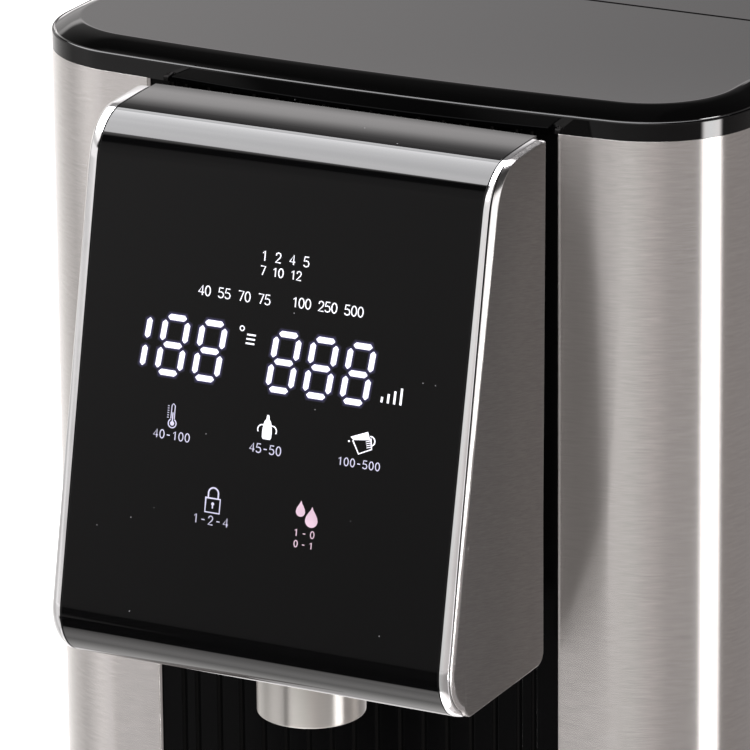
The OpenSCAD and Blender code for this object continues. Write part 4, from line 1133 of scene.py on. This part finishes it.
jug = [stroke([(21.0, 62.0), (22.6, 64.7), (25.6, 63.3), (25.2, 61.0)], 0.3),
       plate([(20.4, 61.3), (24.4, 59.7), (25.1, 61.4), (21.1, 61.9)]),
       stroke(loop(25.2, 61.6, 1.0, -100, 75), 0.28), plate(loop(20.1, 62.3, 0.22))]
jug += [stroke([(24.1 + 0.1 * i, 61.9 + 0.42 * i), (25.1 + 0.1 * i, 61.55 + 0.42 * i)], 0.16)
        for i in range(4)]
marks("pictograms", lit_lilac, *thermometer, *padlock, *labels)
marks("pouring_pictograms", lit_white, *bottle, *jug)


def drop(u, tip, low, half):
    """A drop with a point above and a round foot."""
    centre = low - half
    side = [(half * math.sin(t * math.pi / 2) ** 1.5, tip + (centre - tip) * t)
            for t in (0, 0.25, 0.5, 0.75)]
    foot = loop(u, centre, half, 0, 180, 16)
    return plate([(u + a, b) for a, b in side] + foot + [(u - a, b) for a, b in reversed(side)])


marks("drops", lit_pink, drop(10.1, 76.6, 80.1, 1.1), drop(12.85, 77.6, 82.1, 1.5), *pink_labels)

# %% [markdown]
# The nozzle is a turned steel sleeve with a black insert. The sleeve is one section spun round its axis,
# as on a lathe. Its lower lip is rolled, so it ends in a soft bright ring and not in a knife edge. The
# insert keeps the shape of its solid.

# %% Nozzle
NOZZLE_Y = FRONT_Y - 21.7
NOZZLE_R = 12
NOZZLE_DROP = 13.3
NOZZLE_LIP = 0.5
FLANGE_W = 2
FLANGE_LOW = 2.5
FLANGE_HIGH = 4
nozzle_top = STEEL_TOP + HEAD_BOTTOM
bore_r = NOZZLE_R - 2 * NOZZLE_LIP
lip_z = NOZZLE_LIP - NOZZLE_DROP
sleeve = [(bore_r, FLANGE_LOW), (bore_r, lip_z)]
sleeve += edge_arc(NOZZLE_R - NOZZLE_LIP, lip_z, NOZZLE_LIP, 180, 360, 8)
sleeve += [(NOZZLE_R, FLANGE_LOW), (NOZZLE_R + FLANGE_W, FLANGE_LOW), (NOZZLE_R + FLANGE_W, FLANGE_HIGH),
           (bore_r, FLANGE_HIGH)]
make_piece("nozzle_tube", turned(sleeve, (0, NOZZLE_Y, nozzle_top), count=96), nozzle_steel,
           stands_for=["nozzle_sleeve"])

# %% [markdown]
# Base, drip tray, grate, tank and the works inside keep the solids' shapes, but each material still has
# its own grain: polished and brushed metals, milky hose silicone, pebbled mouldings, a circuit board with
# copper runs under its green mask, and the tank's smoky clear plastic, which lets most light through.

# %% Finishes of the other pieces
small_steel = polished("small_steel", (0.62, 0.62, 0.62), 0.2)
heater_metal = brushed("heater_metal", (0.6, 0.61, 0.63), 0.36, stretch=(300, 300, 40))
motor_metal = polished("motor_metal", (0.42, 0.44, 0.46), 0.32)
white_plastic = moulded("white_plastic", (0.72, 0.71, 0.68), 0.45)
seal_red = moulded("seal_red", (0.32, 0.05, 0.045), 0.55, 1500)
hose_silicone = moulded("hose_silicone", (0.72, 0.7, 0.66), 0.4, 900, 0.01, Subsurface_Weight=0.25)
valve_blue = moulded("valve_blue", (0.05, 0.2, 0.5), 0.4)
tank_clear = moulded("tank_clear", (0.42, 0.45, 0.49), 0.09, 400, 0.004, Transmission_Weight=0.92,
                     IOR=1.49)


def solder_board(name, colour):
    """Green solder mask with paler copper runs under it."""
    material, tree, shader = start_finish(name, colour, 0.35)
    place = add_node(tree, "TexCoord")
    runs = add_node(tree, "TexBrick", Scale=160.0)
    runs.inputs["Color1"].default_value = (*colour, 1)
    runs.inputs["Color2"].default_value = (*[c * 0.8 for c in colour], 1)
    runs.inputs["Mortar"].default_value = (*[c * 1.7 + 0.01 for c in colour], 1)
    runs.inputs["Mortar Size"].default_value = 0.03
    flat = add_node(tree, "Mapping", Rotation=(math.pi / 2, 0, 0))
    tree.links.new(place.outputs["Object"], flat.inputs["Vector"])
    tree.links.new(flat.outputs["Vector"], runs.inputs["Vector"])
    tree.links.new(runs.outputs["Color"], shader.inputs["Base Color"])
    add_bump(tree, shader, runs.outputs["Fac"], 0.3, 0.03)
    return material


board_green = solder_board("board_green", (0.03, 0.16, 0.06))
board_parts = moulded("board_parts", (0.16, 0.12, 0.05), 0.4)
lit_block = lit("lit_block", (0.93, 0.92, 1.0), 0.4)
print("finishes", len(bpy.data.materials))

# %% [markdown]
# Moulded and pressed parts never have knife edges, and it is the rounded edge that catches the light. A
# bevel modifier would round every little facet of a solid's curves too. So each of the larger pieces gets
# a copy of its solid whose flat faces are joined again first, and then only its true edges are bevelled.

# %% Softened copies of the solids
EDGE_ANGLE = math.radians(35)
FLAT_ANGLE = math.radians(0.6)
CRISP_ANGLE = math.radians(40)


def soften(node, finish, body="machine", radius=0.4, segments=2):
    """A copy of a solid with its flat faces joined and its edges bevelled, in place of the solid."""
    mesh = frame["nodes"][node].data.copy()
    if "custom_normal" in mesh.attributes:
        mesh.attributes.remove(mesh.attributes["custom_normal"])
    work = bmesh.new()
    work.from_mesh(mesh)
    bmesh.ops.remove_doubles(work, verts=work.verts, dist=0.001 * MM)
    bmesh.ops.dissolve_limit(work, angle_limit=FLAT_ANGLE, verts=work.verts, edges=work.edges)
    sharp = [e for e in work.edges if len(e.link_faces) == 2 and e.calc_face_angle(0) > EDGE_ANGLE]
    bmesh.ops.bevel(work, geom=sharp, offset=radius * MM, segments=segments, profile=0.5,
                    affect="EDGES", clamp_overlap=True)
    bmesh.ops.recalc_face_normals(work, faces=work.faces)
    for face in work.faces:
        face.smooth = True
    work.to_mesh(mesh)
    work.free()
    mesh.set_sharp_from_angle(angle=CRISP_ANGLE)
    return dress(bpy.data.objects.new("soft_" + node, mesh), finish, body, [node])


soften("base_shell", black_satin, radius=0.8, segments=3)
soften("drip_tray", black_satin, "drip_tray_body", 0.5)
soften("drip_grate", grate_steel, "drip_grate_body", 0.4)
soften("water_tank", tank_clear, "tank_body", 0.5)
soften("back_plate", black_satin, radius=0.5)
soften("rubber_feet", rubber_black, radius=0.6)
soften("cord_gland", rubber_black, radius=0.5)

# %% [markdown]
# The other solids are small, turned or hidden, and stay as they are. Each takes its finish on its own
# material slot, and keeps its place on its body.

# %% Finishes on the solids that stay
kept_solids = {
    black_satin: ["bottom_plate", "column_frame", "head_housing", "nozzle_insert", "dock_socket"],
    small_steel: ["base_screws", "lid_hinge_pin", "valve_spring"],
    heater_metal: ["heater_tube", "heater_bracket"],
    motor_metal: ["pump_motor"],
    white_plastic: ["heater_caps", "thermal_cutout", "pump_body", "filter_cartridge", "valve_body"],
    rubber_black: ["pump_cradle"],
    seal_red: ["dock_seal"],
    hose_silicone: ["inlet_hose", "feed_hose", "outlet_hose", "lid_seal"],
    board_green: ["display_board", "power_board"],
    board_parts: ["board_parts"],
    lit_block: ["led_block"],
    valve_blue: ["valve_plunger"],
}
for finish, nodes in kept_solids.items():
    for name in nodes:
        solid = frame["nodes"][name]
        solid.data.materials.clear()
        solid.data.materials.append(finish)
print("kept solids", sum(len(nodes) for nodes in kept_solids.values()))

# %% [markdown]
# The stage is a plain white floor, wide enough to fill every view. It glows a little, so that it stays
# white under the soft light, and it is hidden from mirror rays, because the bright table that the steel
# and the glass mirror comes with the room in the next step.

# %% Floor
FLOOR_REACH = 6
floor_mesh = bpy.data.meshes.new("floor")
floor_corners = [(-1, -1), (1, -1), (1, 1), (-1, 1)]
floor_mesh.from_pydata([(FLOOR_REACH * x, FLOOR_REACH * y, 0) for x, y in floor_corners], [], [(0, 1, 2, 3)])
floor = bpy.data.objects.new("floor", floor_mesh)
scene.collection.objects.link(floor)
pale, _, pale_shader = start_finish("floor", (0.9, 0.9, 0.9), 0.7)
pale_shader.inputs["Emission Color"].default_value = (1, 1, 1, 1)
pale_shader.inputs["Emission Strength"].default_value = 0.25
floor_mesh.materials.append(pale)
floor.visible_glossy = False
print("floor", 2 * FLOOR_REACH, "m wide")

# %% [markdown]
# Steel, chrome and glass look like what they mirror, so the room matters as much as the finishes. Real
# cards and flags round the object would do, but they would stand in the way of other views. Here the room
# is written into the world as bands of light. Each band has a brightness by compass direction, where 0
# is the front and positive is to the right, and a share by height above the horizon, both in degrees.
# The camera itself sees plain white.

# %% Bands of the room
ROUND = (-180, 180)
UPRIGHT = (-90, 90)
world = bpy.data.worlds.new("studio")
scene.world = world
world.use_nodes = True
sky = world.node_tree
background = sky.nodes["Background"]
direction = add_node(sky, "TexCoord")
axes = add_node(sky, "SeparateXYZ")
sky.links.new(direction.outputs["Generated"], axes.inputs["Vector"])
forward = math_node(sky, "MULTIPLY", axes.outputs["Y"], -1.0)
turned_by = math_node(sky, "ARCTAN2", axes.outputs["X"], forward)
raised_by = math_node(sky, "ARCSINE", axes.outputs["Z"])
compass = math_node(sky, "ADD", math_node(sky, "DIVIDE", turned_by, 2 * math.pi), 0.5)
height = math_node(sky, "ADD", math_node(sky, "DIVIDE", raised_by, math.pi), 0.5)


def fill_ramp(node, span, stops):
    """Sets a colour ramp's stops, each (degrees, colour) within a span of degrees."""
    elements = node.color_ramp.elements
    low, high = span
    for i, (angle, colour) in enumerate(stops):
        place = (angle - low) / (high - low)
        element = elements[i] if i < 2 else elements.new(place)
        element.position = place
        element.color = (*colour, 1)


def light_curve(source, span, stops, top):
    """A brightness by angle; top is a number that no stop passes."""
    curve = add_node(sky, "ValToRGB")
    fill_ramp(curve, span, [(angle, (value / top,) * 3) for angle, value in stops])
    sky.links.new(source, curve.inputs["Fac"])
    return math_node(sky, "MULTIPLY", curve.outputs["Color"], top)


def band(by_compass, by_height, top=4):
    """One band of the room: a brightness by compass direction, shaped by height."""
    around_room = light_curve(compass, ROUND, by_compass, top)
    return math_node(sky, "MULTIPLY", around_room, light_curve(height, UPRIGHT, by_height, 2))


table = band([(-180, 1.2), (-140, 1.5), (-100, 1.1), (-82, 0.9), (-60, 1.6), (-44, 1.7), (-37, 3.0),
              (-20, 3.0), (-8, 2.0), (5, 1.6), (45, 1.2), (66, 1.2), (104, 0.6), (140, 0.6), (170, 0.8)],
             [(-90, 1.5), (-63, 1.3), (-50, 0.85), (-46, 0.5), (-44.5, 0), (90, 0)])
low_room = band([(-180, 1.0), (-156, 1.3), (-140, 1.5), (-120, 1.2), (-100, 0.8), (-82, 0.5), (-70, 0.7),
                 (-60, 0.88), (-50, 0.8), (-31.5, 0.8), (-30.5, 0.06), (-22, 0.06), (-20.5, 0.62),
                 (-15, 0.54), (-5, 0.46), (8, 0.44), (20, 0.39), (45, 0.33), (70, 0.35), (103, 0.36),
                 (140, 0.36), (170, 0.5)],
                [(-90, 0), (-25.5, 0), (-24, 1), (-6, 1), (-2, 0), (90, 0)])
floor_room = band([(-180, 1.0), (-140, 1.4), (-100, 0.9), (-82, 0.6), (-60, 0.9), (-48, 0.7), (-45, 0.04),
                   (-22, 0.04), (-20.5, 0.62), (-5, 0.46), (20, 0.39), (70, 0.33), (140, 0.36),
                   (170, 0.5)],
                  [(-90, 0), (-46, 0), (-44, 1), (-25.5, 1), (-24, 0), (90, 0)])
eye_room = band([(-180, 0.5), (-156, 0.58), (-150, 0.82), (-130, 0.95), (-100, 0.8), (-60, 1.1),
                 (-32.5, 1.1), (-31.5, 0), (-22, 0), (-20.5, 0.92), (20, 0.95), (60, 0.95), (75, 0.8),
                 (100, 0.5), (140, 0.3), (170, 0.4)],
                [(-90, 0), (-8, 0), (-5, 0.5), (1, 0.7), (4, 1), (20.5, 1), (23, 0), (90, 0)])
high_front = band([(-180, 0), (-110, 0), (-100, 0.7), (-47, 0.7), (-44, 0), (-25, 0), (-23.5, 1), (30, 1),
                   (45, 0), (180, 0)],
                  [(-90, 0), (20.5, 0), (23, 1), (28, 1), (33, 1.8), (60, 1.8), (64, 0), (90, 0)])
front_room = band([(-180, 0), (-36, 0), (-35, 1.5), (-28, 1.5), (-26, 1.15), (-22, 1.1), (-20.5, 0),
                   (180, 0)],
                  [(-90, 0), (-7, 0), (-5, 0.12), (1, 0.18), (4, 0.25), (15, 0.24), (22, 0.2), (30, 0.15),
                   (48, 0.12), (60, 0.08), (90, 0.08)], top=2)
backdrop = band([(-180, 0), (-171, 0), (-163, 0.66), (-140, 0.7), (-125, 0.35), (-112, 0), (175, 0)],
                [(-90, 0), (16.5, 0), (18, 1), (19.6, 1), (22.2, 0.35), (40, 0.28), (46, 0.04), (90, 0.02)])
ceiling = band([(-180, 0.04), (180, 0.04)], [(-90, 0), (21.5, 0), (23.5, 1), (90, 1)])
bands = (table, low_room, floor_room, eye_room, high_front, front_room, backdrop, ceiling)
print("bands of the room", len(bands))

# %% [markdown]
# A narrow strip light at the right gives the steel's corner its white stripe, and a short bright stretch
# of it shows in the rim. Seen at second hand, mirrored in one piece that is mirrored in another, it is
# toned down, or it would sparkle in every gap. The sum of the bands and the strip is the room, and a faint
# tint by compass direction keeps its greys from looking all alike.

# %% Strip light, tint and the whole room
SECOND_HAND = 0.1
strip_around = [(-180, 0), (74, 0), (78, 1), (93.5, 1), (97.5, 0), (180, 0)]
strip_rise = [(-60, 1.0), (-30, 1.1), (-18.6, 1.5), (-17.8, 24), (-15.6, 24), (-14.8, 1.6), (0, 1.5),
              (20, 0.6), (30, 0.05), (60, 0)]
strip = math_node(sky, "MULTIPLY", light_curve(compass, ROUND, strip_around, 1),
                  light_curve(height, UPRIGHT, strip_rise, 24))
seen = add_node(sky, "LightPath")
second_hand = math_node(sky, "GREATER_THAN", seen.outputs["Glossy Depth"], 1.5)
toned_down = math_node(sky, "MULTIPLY", second_hand, 1 - SECOND_HAND)
room = math_node(sky, "MULTIPLY", strip, math_node(sky, "SUBTRACT", 1.0, toned_down))
for part in bands:
    room = math_node(sky, "ADD", room, part)
plain = add_node(sky, "Mix", data_type="FLOAT")
sky.links.new(seen.outputs["Is Camera Ray"], plain.inputs[0])
sky.links.new(room, plain.inputs[2])
plain.inputs[3].default_value = 1.0
sky.links.new(plain.outputs[0], background.inputs["Strength"])
tints = [(-180, (1, 0.955, 0.97)), (-120, (1, 0.98, 0.965)), (-30, (1, 0.97, 0.965)),
         (8, (1, 0.985, 0.96)), (28, (1, 0.945, 0.93)), (70, (1, 0.95, 0.935)), (84, (1, 1, 1)),
         (104, (1, 0.93, 0.91)), (180, (1, 0.955, 0.97))]
tint = add_node(sky, "ValToRGB")
fill_ramp(tint, ROUND, tints)
sky.links.new(compass, tint.inputs["Fac"])
white = add_node(sky, "Mix", data_type="RGBA")
white.inputs[7].default_value = (1, 1, 1, 1)
sky.links.new(seen.outputs["Is Camera Ray"], white.inputs["Factor"])
sky.links.new(tint.outputs["Color"], white.inputs[6])
sky.links.new(white.outputs[2], background.inputs["Color"])
print("room with", len(tints), "tints")

# %% [markdown]
# Two softboxes overhead light the floor and lay the bright band along the head's upper roll. They hang at
# two heights, because a mirror ray meets only one of two lamps that share a plane. Light linking leaves
# out the cover and the lid, whose flat tops would mirror a hard edge. Gloss pieces close together also
# mirror each other, which shows as dashes of light in the gaps, so only the steel, the glass, the cheeks
# and the trim can be seen in mirrors. The plain view transform keeps black black.

# %% Overhead softboxes
SOFTBOX_ACROSS = (-2.02, 0.18)
SOFTBOX_COLOUR = (0.985, 0.98, 1.0)
softboxes = {"overhead_softbox": (1.8, -0.82, 1.4, 5.5), "front_softbox": (1.7, -0.8, 0.9, 3.7)}
receivers = bpy.data.collections.new("softbox_receivers")
for piece in (cover, lid):
    receivers.objects.link(piece)
for linked in receivers.collection_objects:
    linked.light_linking.link_state = "EXCLUDE"
for name, (high, near, far, glow) in softboxes.items():
    box_data = bpy.data.lights.new(name, "AREA")
    box_data.shape = "RECTANGLE"
    box_data.size = SOFTBOX_ACROSS[1] - SOFTBOX_ACROSS[0]
    box_data.size_y = far - near
    box_data.energy = glow * math.pi * box_data.size * box_data.size_y
    box_data.color = SOFTBOX_COLOUR
    box_light = bpy.data.objects.new(name, box_data)
    box_light.location = (sum(SOFTBOX_ACROSS) / 2, (near + far) / 2, high)
    scene.collection.objects.link(box_light)
    box_light.light_linking.receiver_collection = receivers
    print(name, round(box_data.energy, 1), "W")
mirrored_pieces = ("steel_", "bent_glass", "cheek_", "trim_")
for piece in scene.objects:
    if piece.type == "MESH" and not piece.name.startswith(mirrored_pieces):
        piece.visible_glossy = False
scene.view_settings.view_transform = "Standard"
